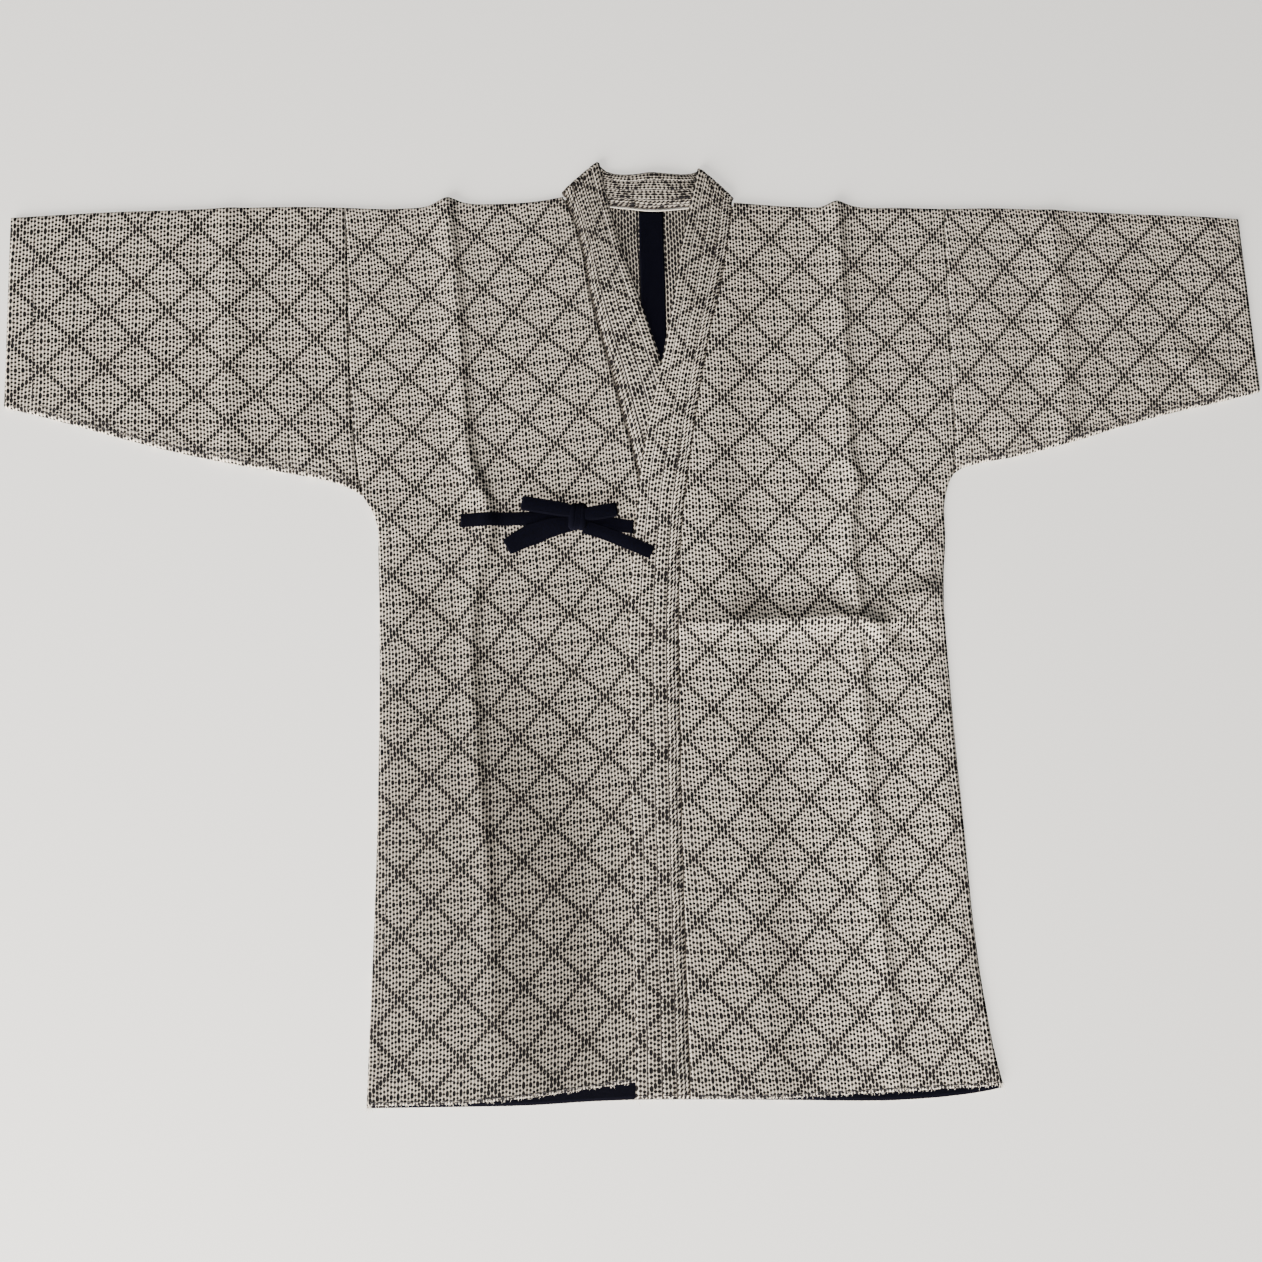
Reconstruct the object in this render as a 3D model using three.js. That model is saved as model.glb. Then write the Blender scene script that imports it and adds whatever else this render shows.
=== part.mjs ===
// Kendo jacket (keikogi) of one layer of sashiko cotton, laid flat on its back and closed left over right.
//
// Millimetres. +X runs toward the wearer's left sleeve, +Y toward the collar, +Z up from the table.
// The pattern is drawn from the middle of the shoulder fold, where y = 0, and y is negative toward the hem.
// The whole group is moved at the end, so that its origin lies under the middle of its box.
// Heights in the tables are those of the middle of the cloth's thickness.

import * as THREE from 'three';

// Driving sizes
const CLOTH = 2.0;
const SEAM_GAP = 0.3;
const COLLAR_GAP = 0.4;
const ARMHOLE_GAP = 0.45;
const BACK_MID = CLOTH / 2;
const FRONT_MID = 4.4;
const SIDE_SEAM_MID = 3.3;
const SIDE_DROP_REACH = 20;
const COLLAR_THICK = 4.0;
const COLLAR_BACK_MID = COLLAR_THICK / 2;
const COLLAR_CROWN = 0.8;
const TAPE_WIDTH = 24.4;
const TAPE_THICK = 0.8;
const TAPE_FOOT = -185;
const FACING_WIDTH = 26;
const FACING_INSET = 1.2;
const TIE_WIDTH = 13;
const TIE_THICK = 1.8;
const LINING_MID = CLOTH + SEAM_GAP + TAPE_THICK / 2;

// The two sides of the jacket: sign is that of x, and pit is the foot of the armhole.
const SIDES = {
  right: { sign: -1, pit: -289, cuff: -608.6, neck: -87, neckTop: 11.1 },
  left: { sign: 1, pit: -278, cuff: 605.2, neck: 82, neckTop: 4.8 },
};

// Armhole seam, by share of the armhole's depth.
const ARMHOLE = [
  { share: 0.0, right: -297.7, left: 296.4 },
  { share: 0.2, right: -295.9, left: 294.0 },
  { share: 0.41, right: -295.3, left: 291.8 },
  { share: 0.55, right: -294.8, left: 290.2 },
  { share: 0.68, right: -294.0, left: 288.8 },
  { share: 0.83, right: -290.5, left: 287.4 },
  { share: 0.92, right: -287.5, left: 286.0 },
  { share: 1.0, right: -284.0, left: 283.0 },
];

// Side seams below the armholes.
const SIDE_SEAM = {
  right: [
    { y: -289, x: -284 },
    { y: -299, x: -277.6 },
    { y: -316, x: -271.2 },
    { y: -345, x: -270.3 },
    { y: -425, x: -270 },
    { y: -534, x: -272 },
    { y: -641, x: -275.7 },
    { y: -744, x: -281 },
    { y: -840, x: -285.9 },
  ],
  left: [
    { y: -278, x: 283 },
    { y: -284, x: 278.4 },
    { y: -294, x: 274.3 },
    { y: -343, x: 269 },
    { y: -402, x: 263.4 },
    { y: -498, x: 262 },
    { y: -610, x: 263.8 },
    { y: -720, x: 266 },
    { y: -773, x: 269.5 },
    { y: -817, x: 274.4 },
    { y: -855, x: 281.6 },
  ],
};

// Outline of the shoulder fold; it stands out a little where a long crease runs into it.
const SHOULDER = [
  { x: -297.7, y: -0.5 },
  { x: -246, y: -1.4 },
  { x: -217, y: 1.8 },
  { x: -200, y: 9.6 },
  { x: -183, y: 4.7 },
  { x: -149, y: 3.7 },
  { x: -110, y: 6.8 },
  { x: -87, y: 11.1 },
  { x: 82, y: 4.8 },
  { x: 109, y: 2.7 },
  { x: 149, y: 0.6 },
  { x: 172, y: 0.8 },
  { x: 186, y: 6.2 },
  { x: 203, y: 1.4 },
  { x: 251, y: -0.5 },
  { x: 296.4, y: -1.6 },
];

// Upper fold and lower seam of each sleeve, by distance from the jacket's middle.
const SLEEVE = [
  { out: 283, topRight: -0.5, footRight: -289.5, topLeft: -1.6, footLeft: -278 },
  { out: 289.5, topRight: -0.5, footRight: -284.3, topLeft: -1.6, footLeft: -273.2 },
  { out: 305, topRight: -0.2, footRight: -276.3, topLeft: -1.5, footLeft: -268.5 },
  { out: 342, topRight: 0.5, footRight: -266.9, topLeft: -0.9, footLeft: -262.2 },
  { out: 398, topRight: -0.5, footRight: -256, topLeft: -2.4, footLeft: -249.4 },
  { out: 454, topRight: -2.6, footRight: -242.6, topLeft: -5.2, footLeft: -233.4 },
  { out: 510, topRight: -4.6, footRight: -226.6, topLeft: -8.0, footLeft: -219.6 },
  { out: 565, topRight: -7.7, footRight: -209.8, topLeft: -10.0, footLeft: -208.2 },
  { out: 609, topRight: -10.7, footRight: -198, topLeft: -12.8, footLeft: -198.4 },
];

// Hems of the back and of each front. Each front's hem runs on to the free edge of its collar.
const HEM = [
  { x: -286, back: -834.8, right: -832.3, left: -838.9 },
  { x: -214, back: -838.0, right: -834.0, left: -838.9 },
  { x: -150, back: -840.6, right: -832.2, left: -838.9 },
  { x: -84, back: -840.7, right: -828.3, left: -838.9 },
  { x: -52, back: -841.5, right: -826.0, left: -838.9 },
  { x: -4, back: -844.0, right: -824.6, left: -841.7 },
  { x: 52, back: -847.5, right: -823.4, left: -844.9 },
  { x: 95, back: -850.4, right: -823.4, left: -846.6 },
  { x: 185, back: -855.6, right: -823.4, left: -847.2 },
  { x: 231, back: -855.0, right: -823.4, left: -847.4 },
  { x: 264, back: -852.6, right: -823.4, left: -847.4 },
  { x: 282, back: -850.0, right: -823.4, left: -845.8 },
];

// Cut edge of the back neck, from one shoulder to the other.
const BACK_NECK = [
  { x: -87, y: 8.4 },
  { x: -66, y: 5.2 },
  { x: -44, y: 2.4 },
  { x: -22, y: 0.0 },
  { x: 0, y: -2.1 },
  { x: 22, y: -0.8 },
  { x: 42, y: 1.0 },
  { x: 62, y: 1.8 },
  { x: 82, y: 2.1 },
];

// Sewn side (seam) and free side (edge) of both fronts of the collar, and their heights.
const COLLAR = [
  { y: 45, seamRight: -96, edgeRight: -50.6, seamLeft: 88, edgeLeft: 49.5, underMid: 6.7, overMid: 6.7 },
  { y: 10, seamRight: -86.4, edgeRight: -44.5, seamLeft: 81.5, edgeLeft: 40.3, underMid: 6.7, overMid: 6.7 },
  { y: -10, seamRight: -78.4, edgeRight: -40, seamLeft: 78.2, edgeLeft: 35.3, underMid: 6.6, overMid: 6.8 },
  { y: -45, seamRight: -69.8, edgeRight: -31.5, seamLeft: 72, edgeLeft: 27, underMid: 6.0, overMid: 7.2 },
  { y: -90, seamRight: -63.7, edgeRight: -18.5, seamLeft: 62.3, edgeLeft: 18, underMid: 5.7, overMid: 8.6 },
  { y: -130, seamRight: -55.8, edgeRight: -7, seamLeft: 50.4, edgeLeft: 9.5, underMid: 5.6, overMid: 10.4 },
  { y: -170, seamRight: -46.5, edgeRight: 4, seamLeft: 41.7, edgeLeft: 0.5, underMid: 5.6, overMid: 10.8 },
  { y: -210, seamRight: -38, edgeRight: 13, seamLeft: 33.5, edgeLeft: -10, underMid: 5.5, overMid: 10.8 },
  { y: -265, seamRight: -26, edgeRight: 23, seamLeft: 23, edgeLeft: -22, underMid: 5.4, overMid: 10.8 },
  { y: -320, seamRight: -17, edgeRight: 31.5, seamLeft: 14, edgeLeft: -29.5, underMid: 5.4, overMid: 10.8 },
  { y: -395, seamRight: -8, edgeRight: 38.5, seamLeft: 7, edgeLeft: -38.7, underMid: 5.4, overMid: 10.8 },
  { y: -525, seamRight: -2, edgeRight: 44, seamLeft: 2, edgeLeft: -44.3, underMid: 5.4, overMid: 10.8 },
  { y: -600, seamRight: 0.6, edgeRight: 45.6, seamLeft: -0.4, edgeLeft: -45.6, underMid: 5.4, overMid: 10.8 },
  { y: -670, seamRight: 1.6, edgeRight: 47, seamLeft: -1.6, edgeLeft: -46.9, underMid: 5.4, overMid: 8.2 },
  { y: -850, seamRight: 4, edgeRight: 52, seamLeft: -4.4, edgeLeft: -52.6, underMid: 5.4, overMid: 8.0 },
];

// How far a line across the collar rises from the seam to the free side.
const COLLAR_RISE = [
  { y: 0, rise: 24 },
  { y: -30, rise: 15 },
  { y: -60, rise: 11 },
  { y: -200, rise: 9 },
  { y: -300, rise: 6 },
  { y: -400, rise: 2 },
  { y: -500, rise: 0 },
];

// The collar's turn at each shoulder: the outer points of its diagonal fold.
const COLLAR_TURN = {
  right: { seamX: -86, seamY: 12.6, edgeX: -50.6, edgeY: 44.4 },
  left: { seamX: 80, seamY: 6.4, edgeX: 47.5, edgeY: 38.2 },
};

// Lines across the collar behind the neck, between the two turns.
const COLLAR_BACK = [
  { seamX: -64, edgeX: -43, edgeY: 37.0, seamMid: 2.2, edgeMid: 2.6 },
  { seamX: -44, edgeX: -32, edgeY: 33.4, seamMid: 2.6, edgeMid: 4.6 },
  { seamX: -22, edgeX: -17, edgeY: 32.6, seamMid: 2.9, edgeMid: 6.4 },
  { seamX: 0, edgeX: 0, edgeY: 34.6, seamMid: 3.0, edgeMid: 7.0 },
  { seamX: 22, edgeX: 17, edgeY: 33.6, seamMid: 2.9, edgeMid: 6.4 },
  { seamX: 42, edgeX: 31, edgeY: 33.6, seamMid: 2.6, edgeMid: 4.6 },
  { seamX: 60, edgeX: 41, edgeY: 35.2, seamMid: 2.2, edgeMid: 2.6 },
];

// Crests of the long creases that run down the fronts, and their height above the cloth.
const LONG_CREASE = {
  right: [
    { y: 12, x: -200, height: 2.6 },
    { y: -97, x: -192.7, height: 2.6 },
    { y: -197, x: -189, height: 2.8 },
    { y: -261, x: -183, height: 3.2 },
    { y: -290, x: -172, height: 3.4 },
    { y: -340, x: -169, height: 3.0 },
    { y: -372, x: -180, height: 3.0 },
    { y: -406, x: -185, height: 3.0 },
    { y: -508, x: -185, height: 2.6 },
    { y: -645, x: -177, height: 2.2 },
    { y: -760, x: -173, height: 1.2 },
    { y: -850, x: -170, height: 0 },
  ],
  left: [
    { y: 12, x: 186, height: 2.6 },
    { y: -97, x: 183.8, height: 2.6 },
    { y: -199, x: 182.2, height: 2.4 },
    { y: -268, x: 181.5, height: 3.0 },
    { y: -284, x: 186, height: 3.2 },
    { y: -308, x: 179, height: 2.8 },
    { y: -415, x: 177.5, height: 3.0 },
    { y: -527, x: 176, height: 2.2 },
    { y: -698, x: 178.4, height: 2.0 },
    { y: -808, x: 183.8, height: 1.4 },
    { y: -860, x: 185, height: 0.6 },
  ],
};
const LONG_CREASE_REACH = 26;

// Crest of the crease across both fronts at the waist.
const WAIST_CREASE = [
  { x: -300, y: -414, height: 0 },
  { x: -250, y: -414, height: 0.6 },
  { x: -105, y: -411, height: 0.8 },
  { x: -20, y: -415, height: 0.8 },
  { x: 11, y: -418.7, height: 2.0 },
  { x: 64, y: -418.5, height: 4.4 },
  { x: 121, y: -418.3, height: 5.4 },
  { x: 177, y: -418.9, height: 5.4 },
  { x: 197, y: -424, height: 5.0 },
  { x: 222, y: -416, height: 3.6 },
  { x: 245, y: -400, height: 2.4 },
  { x: 266, y: -394, height: 0.4 },
  { x: 300, y: -394, height: 0 },
];
const WAIST_LEVEL = -417;
const WAIST_CREASE_REACH = 30;

// Crests of the creases around the sleeves.
const SLEEVE_CREASE = {
  right: [
    { y: 10, x: -408.6, height: 2.4 },
    { y: -130, x: -407.5, height: 2.2 },
    { y: -300, x: -406.5, height: 1.6 },
  ],
  left: [
    { y: 10, x: 409.4, height: 2.0 },
    { y: -132, x: 404.1, height: 2.6 },
    { y: -300, x: 394, height: 2.2 },
  ],
};
const SLEEVE_CREASE_REACH = 24;

// Lift of the left front where it lies over the right front and its collar.
const OVERLAP_LIFT = [
  { y: 20, lift: 1.2 },
  { y: -60, lift: 2.4 },
  { y: -130, lift: 4.4 },
  { y: -200, lift: 5.3 },
  { y: -860, lift: 5.3 },
];
const OVERLAP_MARGIN = 12;
const OVERLAP_REACH = 46;

// Heights of the fronts' crosswise lines: below the armholes, and shares of the way across a front.
const FRONT_LEVELS = [-330, -360, -384, -400, -409, WAIST_LEVEL, -425, -434, -450, -485, -535, -595, -655, -715, -775, -815];
const BACK_LEVELS = [-330, -400, -485, -595, -715, -815];
const PIT_STEPS = [10, 27];
const ACROSS = [0, 0.09, 0.2, 0.32, 0.41, 0.455, 0.5, 0.545, 0.59, 0.68, 0.79, 0.9, 1];
const NECK_STEPS = [0, 0.26, 0.5, 0.76];
const NECK_FOOT = -15;
const ALONG_SLEEVE = [0, 0.13, 0.28, 0.4, 0.46, 0.5, 0.54, 0.6, 0.7, 0.81, 0.9, 0.96, 1];
const FOLD_ANGLES = [90, 45, 0, -45, -90];
const ACROSS_COLLAR = [0, 0.33, 0.67, 1];

// The bow: middles of the tape ends, and the knot that holds them.
const KNOT = { left: -93.2, right: -76, top: -301.6, foot: -327.2, low: 5.8, high: 17.5 };
const TIES = {
  tie_strap_right: [
    { x: -193.7, y: -315.0, layer: 0 },
    { x: -150, y: -314.2, layer: 0 },
    { x: KNOT.left - 0.5, y: -314.0, layer: 0 },
  ],
  tie_strap_left: [
    { x: KNOT.right + 1.1, y: -318.6, layer: 0 },
    { x: -52, y: -321.6, layer: 0.4 },
    { x: -32.4, y: -325.2, layer: 1.6 },
  ],
  bow_tail_right: [
    { x: -151.9, y: -341.6, layer: 0 },
    { x: -128, y: -332.8, layer: 0.9 },
    { x: -108, y: -325.6, layer: 1.2 },
    { x: KNOT.left - 2.7, y: -321.4, layer: 1.2 },
  ],
  bow_tail_left: [
    { x: KNOT.right + 3.2, y: -323.6, layer: 1.5 },
    { x: -58, y: -331.4, layer: 1.8 },
    { x: -40, y: -340.0, layer: 3.9 },
    { x: -16.2, y: -351.2, layer: 4.2 },
  ],
};
const LOOPS = {
  bow_loop_right: { x: KNOT.left - 1.6, y: -308.2, endX: -137, endY: -300.3, low: 2.3, high: 4.3 },
  bow_loop_left: { x: KNOT.right + 1.3, y: -312.4, endX: -47.2, endY: -308.6, low: 2.7, high: 4.7 },
};
const TIE_STEP = 8;
const TIE_GAP = 0.4;

// Cloth colours and finishes
const SASHIKO = { color: 0xb5aea6, roughness: 0.9, metalness: 0 };
const NAVY = { color: 0x0c0d22, roughness: 0.85, metalness: 0 };

// Straight-line reading of a table: the value of one column where another column has a given value.
function readTable(rows, key, column, at) {
  const descending = rows[0][key] > rows[rows.length - 1][key];
  const ordered = descending ? [...rows].reverse() : rows;
  const last = ordered.length - 1;
  if (at <= ordered[0][key]) return ordered[0][column];
  if (at >= ordered[last][key]) return ordered[last][column];
  const next = ordered.findIndex((row) => row[key] >= at);
  const low = ordered[next - 1];
  const high = ordered[next];
  return THREE.MathUtils.mapLinear(at, low[key], high[key], low[column], high[column]);
}

const mix = THREE.MathUtils.lerp;
const ease = THREE.MathUtils.smoothstep;

// A soft ridge: 1 on its crest and 0 at its reach.
function ridge(distance, reach) {
  const share = Math.max(0, 1 - Math.abs(distance) / reach);
  return share * share * (3 - 2 * share);
}

// Name of a table's column for one side, such as seamRight.
function column(stem, side) {
  return stem + side[0].toUpperCase() + side.slice(1);
}

const armholeX = (side, y) => readTable(ARMHOLE, 'share', side, y / SIDES[side].pit);
const sideSeamX = (side, y) => readTable(SIDE_SEAM[side], 'y', 'x', y);
const bodyEdgeX = (side, y) => (y > SIDES[side].pit ? armholeX(side, y) : sideSeamX(side, y));
const hemY = (piece, x) => readTable(HEM, 'x', piece, x);
const shoulderY = (x) => readTable(SHOULDER, 'x', 'y', x);
const backNeckY = (x) => readTable(BACK_NECK, 'x', 'y', x);
const collarSeamX = (side, y) => readTable(COLLAR, 'y', column('seam', side), y);
const collarEdgeX = (side, y) => readTable(COLLAR, 'y', column('edge', side), y);
const creaseX = (side, y) => readTable(LONG_CREASE[side], 'y', 'x', y);

// Height of the creases that stand on the upper layer of cloth.
function creaseHeight(side, x, y) {
  const longRise = readTable(LONG_CREASE[side], 'y', 'height', y);
  const long = longRise * ridge(x - creaseX(side, y), LONG_CREASE_REACH);
  const waistRise = readTable(WAIST_CREASE, 'x', 'height', x);
  const waist = waistRise * ridge(y - readTable(WAIST_CREASE, 'x', 'y', x), WAIST_CREASE_REACH);
  const cuffRise = readTable(SLEEVE_CREASE[side], 'y', 'height', y);
  const crestX = readTable(SLEEVE_CREASE[side], 'y', 'x', y);
  return Math.max(long, waist) + cuffRise * ridge(x - crestX, SLEEVE_CREASE_REACH);
}

// Middle height of the upper layer of a front or a sleeve.
function frontMid(side, x, y) {
  const { pit } = SIDES[side];
  const fromSeam = Math.abs(sideSeamX(side, y) - x);
  const alongSeam = ease(pit - 8 - y, 0, 30) * ease(y, -785, -745);
  const drop = (FRONT_MID - SIDE_SEAM_MID) * alongSeam * (1 - ease(fromSeam, 0, SIDE_DROP_REACH));
  let lift = 0;
  if (side === 'left') {
    const lifted = Math.max(collarSeamX('left', y), collarEdgeX('right', y)) + OVERLAP_MARGIN;
    lift = readTable(OVERLAP_LIFT, 'y', 'lift', y) * (1 - ease(x, lifted, lifted + OVERLAP_REACH));
  }
  return FRONT_MID - drop + lift + creaseHeight(side, x, y);
}

// Closed wall around a grid of middle points: rows of points, which may close on themselves.
function wallGeometry(rows, thickness, closed = false) {
  const rowCount = rows.length;
  const columnCount = rows[0].length;
  const positions = [];
  const normals = rows.map((row, j) => row.map((point, i) => {
    const left = closed ? (i + columnCount - 1) % columnCount : Math.max(i - 1, 0);
    const right = closed ? (i + 1) % columnCount : Math.min(i + 1, columnCount - 1);
    const along = rows[Math.min(j + 1, rowCount - 1)][i].clone().sub(rows[Math.max(j - 1, 0)][i]);
    const across = row[right].clone().sub(row[left]);
    return across.cross(along).normalize();
  }));
  for (const offset of [thickness / 2, -thickness / 2]) {
    rows.forEach((row, j) => row.forEach((point, i) => {
      positions.push(...point.clone().addScaledVector(normals[j][i], offset).toArray());
    }));
  }
  const skin = rowCount * columnCount;
  const at = (layer, j, i) => layer * skin + j * columnCount + (i % columnCount);
  const indices = [];
  const quad = (a, b, c, d) => indices.push(a, b, c, a, c, d);
  const cells = closed ? columnCount : columnCount - 1;
  for (let j = 0; j < rowCount - 1; j += 1) {
    for (let i = 0; i < cells; i += 1) {
      quad(at(0, j, i), at(0, j, i + 1), at(0, j + 1, i + 1), at(0, j + 1, i));
      quad(at(1, j, i), at(1, j + 1, i), at(1, j + 1, i + 1), at(1, j, i + 1));
    }
  }
  for (let i = 0; i < cells; i += 1) {
    const top = rowCount - 1;
    quad(at(1, 0, i), at(1, 0, i + 1), at(0, 0, i + 1), at(0, 0, i));
    quad(at(0, top, i), at(0, top, i + 1), at(1, top, i + 1), at(1, top, i));
  }
  if (!closed) {
    const end = columnCount - 1;
    for (let j = 0; j < rowCount - 1; j += 1) {
      quad(at(0, j, 0), at(0, j + 1, 0), at(1, j + 1, 0), at(1, j, 0));
      quad(at(1, j, end), at(1, j + 1, end), at(0, j + 1, end), at(0, j, end));
    }
  }
  return solidGeometry(positions, indices);
}

// Geometry whose faces all point out: the triangles are turned round where they enclose a negative volume.
function solidGeometry(positions, indices) {
  const corner = (index) => new THREE.Vector3().fromArray(positions, index * 3);
  let volume = 0;
  for (let k = 0; k < indices.length; k += 3) {
    const [a, b, c] = indices.slice(k, k + 3).map(corner);
    volume += a.dot(b.cross(c));
  }
  const outward = volume > 0 ? indices : indices.map((_, k) => indices[k + [0, 1, -1][k % 3]]);
  const geometry = new THREE.BufferGeometry();
  geometry.setAttribute('position', new THREE.Float32BufferAttribute(positions, 3));
  geometry.setIndex(outward);
  geometry.computeVertexNormals();
  return geometry;
}

// Share of the way from one edge through a crest line to the other edge.
function throughCrest(from, crest, to, share) {
  return share < 0.5 ? mix(from, crest, share * 2) : mix(crest, to, share * 2 - 1);
}

// One crosswise line of a body half, with its height from a function of x and y.
function bodyLine(side, inner, innerY, outerY, shapeY, height) {
  return ACROSS.map((share) => {
    const level = mix(outerY, innerY, share);
    const x = throughCrest(bodyEdgeX(side, outerY), creaseX(side, level), inner, share);
    const y = level + shapeY(x, level);
    return new THREE.Vector3(x, y, height(x, y));
  });
}

// How a crosswise line bends to follow the shoulder, the waist crease or the hem near it.
function bend(x, level, lines) {
  return lines.reduce((sum, { at, reach, offset }) => {
    const share = Math.max(0, 1 - Math.abs(level - at) / reach);
    return sum + share * offset(x);
  }, 0);
}

// Bends of the front's crosswise lines.
function frontBends(side) {
  const shoulderEdge = shoulderY(bodyEdgeX(side, 0));
  const hem = frontHem(side);
  return [
    { at: 0, reach: 110, offset: (x) => shoulderY(x) - shoulderEdge },
    { at: WAIST_LEVEL, reach: 60, offset: (x) => readTable(WAIST_CREASE, 'x', 'y', x) - WAIST_LEVEL },
    { at: hem, reach: 60, offset: (x) => hemY(side, x) - hem },
  ];
}

const frontHem = (side) => hemY(side, sideSeamX(side, -846));

// Levels of the front's crosswise lines, from the shoulder down.
function frontLevels(side) {
  const { pit } = SIDES[side];
  const armLevels = ARMHOLE.slice(1).map(({ share }) => share * pit);
  const pitLevels = PIT_STEPS.map((step) => pit - step);
  return [-22, ...armLevels, ...pitLevels, ...FRONT_LEVELS, frontHem(side)];
}

// Where a crosswise line of the front meets the collar's seam.
function seamPoint(side, level) {
  const bends = frontBends(side);
  let y = level;
  for (let pass = 0; pass < 4; pass += 1) y = level + bend(collarSeamX(side, y), level, bends);
  return { x: collarSeamX(side, y), y };
}

// A body half is one length of cloth, from the back hem over the shoulder to the front hem.
function bodyRows(side) {
  const { pit, neck, sign } = SIDES[side];
  const armLevels = ARMHOLE.slice(1).map(({ share }) => share * pit);
  const pitLevels = PIT_STEPS.map((step) => pit - step);
  const flat = () => BACK_MID;
  const backCentre = sign * SEAM_GAP / 2;
  const backHem = hemY('back', sideSeamX(side, -850));
  const backHemBend = { at: backHem, reach: 60, offset: (x) => hemY('back', x) - backHem };
  const backLine = (level) => bodyLine(side, backCentre, level, level,
    (x, y) => bend(x, y, [backHemBend]), flat);
  const rows = [backHem, ...[...BACK_LEVELS].reverse(), ...pitLevels.reverse(), ...armLevels.reverse()]
    .map(backLine);

  // Above the back neck each line ends further out along the neck's cut edge.
  const foldStart = (x) => {
    const radius = (frontMid(side, x, shoulderY(x)) - BACK_MID) / 2;
    return shoulderY(x) - CLOTH / 2 - radius;
  };
  NECK_STEPS.forEach((share) => {
    const inner = share === 0 ? backCentre : share * neck;
    const outerY = mix(NECK_FOOT, foldStart(bodyEdgeX(side, 0)), share);
    rows.push(bodyLine(side, inner, backNeckY(inner), outerY, () => 0, flat));
  });

  // The fold over the shoulder, from the back up to the front.
  [...FOLD_ANGLES].reverse().forEach((angle) => {
    const turn = THREE.MathUtils.degToRad(angle);
    rows.push(ACROSS.map((share) => {
      const x = throughCrest(bodyEdgeX(side, 0), creaseX(side, 0), neck, share);
      const radius = (frontMid(side, x, shoulderY(x)) - BACK_MID) / 2;
      const y = foldStart(x) + radius * Math.cos(turn);
      return new THREE.Vector3(x, y, BACK_MID + radius + radius * Math.sin(turn));
    }));
  });

  const bends = frontBends(side);
  frontLevels(side).forEach((level) => {
    const inner = seamPoint(side, level).x + sign * COLLAR_GAP;
    rows.push(bodyLine(side, inner, level, level, (x, y) => bend(x, y, bends),
      (x, y) => frontMid(side, x, y)));
  });
  return rows;
}

// A sleeve is one flattened tube, folded along its top and sewn along its foot.
function sleeveRows(side) {
  const { sign, cuff } = SIDES[side];
  return ALONG_SLEEVE.map((along) => {
    const place = (y) => {
      const seam = armholeX(side, y) + sign * ARMHOLE_GAP;
      const crest = readTable(SLEEVE_CREASE[side], 'y', 'x', y);
      return throughCrest(seam, crest, cuff, along);
    };
    const outAt = (y) => Math.abs(place(y));
    const top = readTable(SLEEVE, 'out', column('top', side), outAt(0));
    const foot = readTable(SLEEVE, 'out', column('foot', side), outAt(SIDES[side].pit));
    const arc = (edgeY, toward) => FOLD_ANGLES.map((angle) => {
      const turn = THREE.MathUtils.degToRad(toward > 0 ? angle : -angle);
      const x = place(edgeY);
      const radius = (frontMid(side, x, edgeY) - BACK_MID) / 2;
      const y = edgeY - toward * (CLOTH / 2 + radius) + toward * radius * Math.cos(turn);
      return new THREE.Vector3(place(y), y, BACK_MID + radius + radius * Math.sin(turn));
    });
    const shares = ARMHOLE.slice(1, -1).map(({ share }) => share);
    const layer = (height) => shares.map((share) => {
      const y = mix(mix(0, top, Math.min(1, along * 8)), foot, share);
      const x = place(y);
      return new THREE.Vector3(x, y, height(x, y));
    });
    const lower = layer(() => BACK_MID);
    const upper = layer((x, y) => frontMid(side, x, y)).reverse();
    return [...arc(top, 1), ...lower, ...arc(foot, -1), ...upper];
  });
}

// Points across the collar, from its sewn side to its free side, a little crowned between them.
function collarLine(seam, edge, crown) {
  return ACROSS_COLLAR.map((share) => {
    const point = seam.clone().lerp(edge, share);
    point.addScaledVector(crown, COLLAR_CROWN * Math.sin(Math.PI * share));
    return point;
  });
}

const UP = new THREE.Vector3(0, 0, 1);

// Lines of one front of the collar, from the hem up to the shoulder.
function collarFrontLines(side) {
  const mid = side === 'right' ? 'underMid' : 'overMid';
  return frontLevels(side).map((level) => {
    const { x, y } = seamPoint(side, level);
    const height = readTable(COLLAR, 'y', mid, y);
    const rise = readTable(COLLAR_RISE, 'y', 'rise', y);
    const atHem = level === frontHem(side);
    const edgeX = collarEdgeX(side, y + rise);
    const edgeY = atHem ? hemY(side, edgeX) : y + rise;
    return collarLine(new THREE.Vector3(x, y, height), new THREE.Vector3(edgeX, edgeY, height), UP);
  }).reverse();
}

// The turn of the collar at a shoulder, from the front's lines down to those behind the neck.
function collarTurnLines(side) {
  const { seamX, seamY, edgeX, edgeY } = COLLAR_TURN[side];
  const seam = new THREE.Vector3(seamX, seamY, 0);
  const edge = new THREE.Vector3(edgeX, edgeY, 0);
  const outward = edge.clone().sub(seam).normalize().cross(UP).multiplyScalar(-SIDES[side].sign);
  const frontHeight = readTable(COLLAR, 'y', side === 'right' ? 'underMid' : 'overMid', 45);
  const radius = (frontHeight - COLLAR_BACK_MID) / 2;
  return FOLD_ANGLES.map((angle) => {
    const turn = THREE.MathUtils.degToRad(angle);
    const reach = radius * Math.cos(turn) - radius - COLLAR_THICK / 2;
    const height = COLLAR_BACK_MID + radius + radius * Math.sin(turn);
    const move = (point) => point.clone().addScaledVector(outward, reach).setZ(height);
    return collarLine(move(seam), move(edge), new THREE.Vector3());
  });
}

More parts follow.
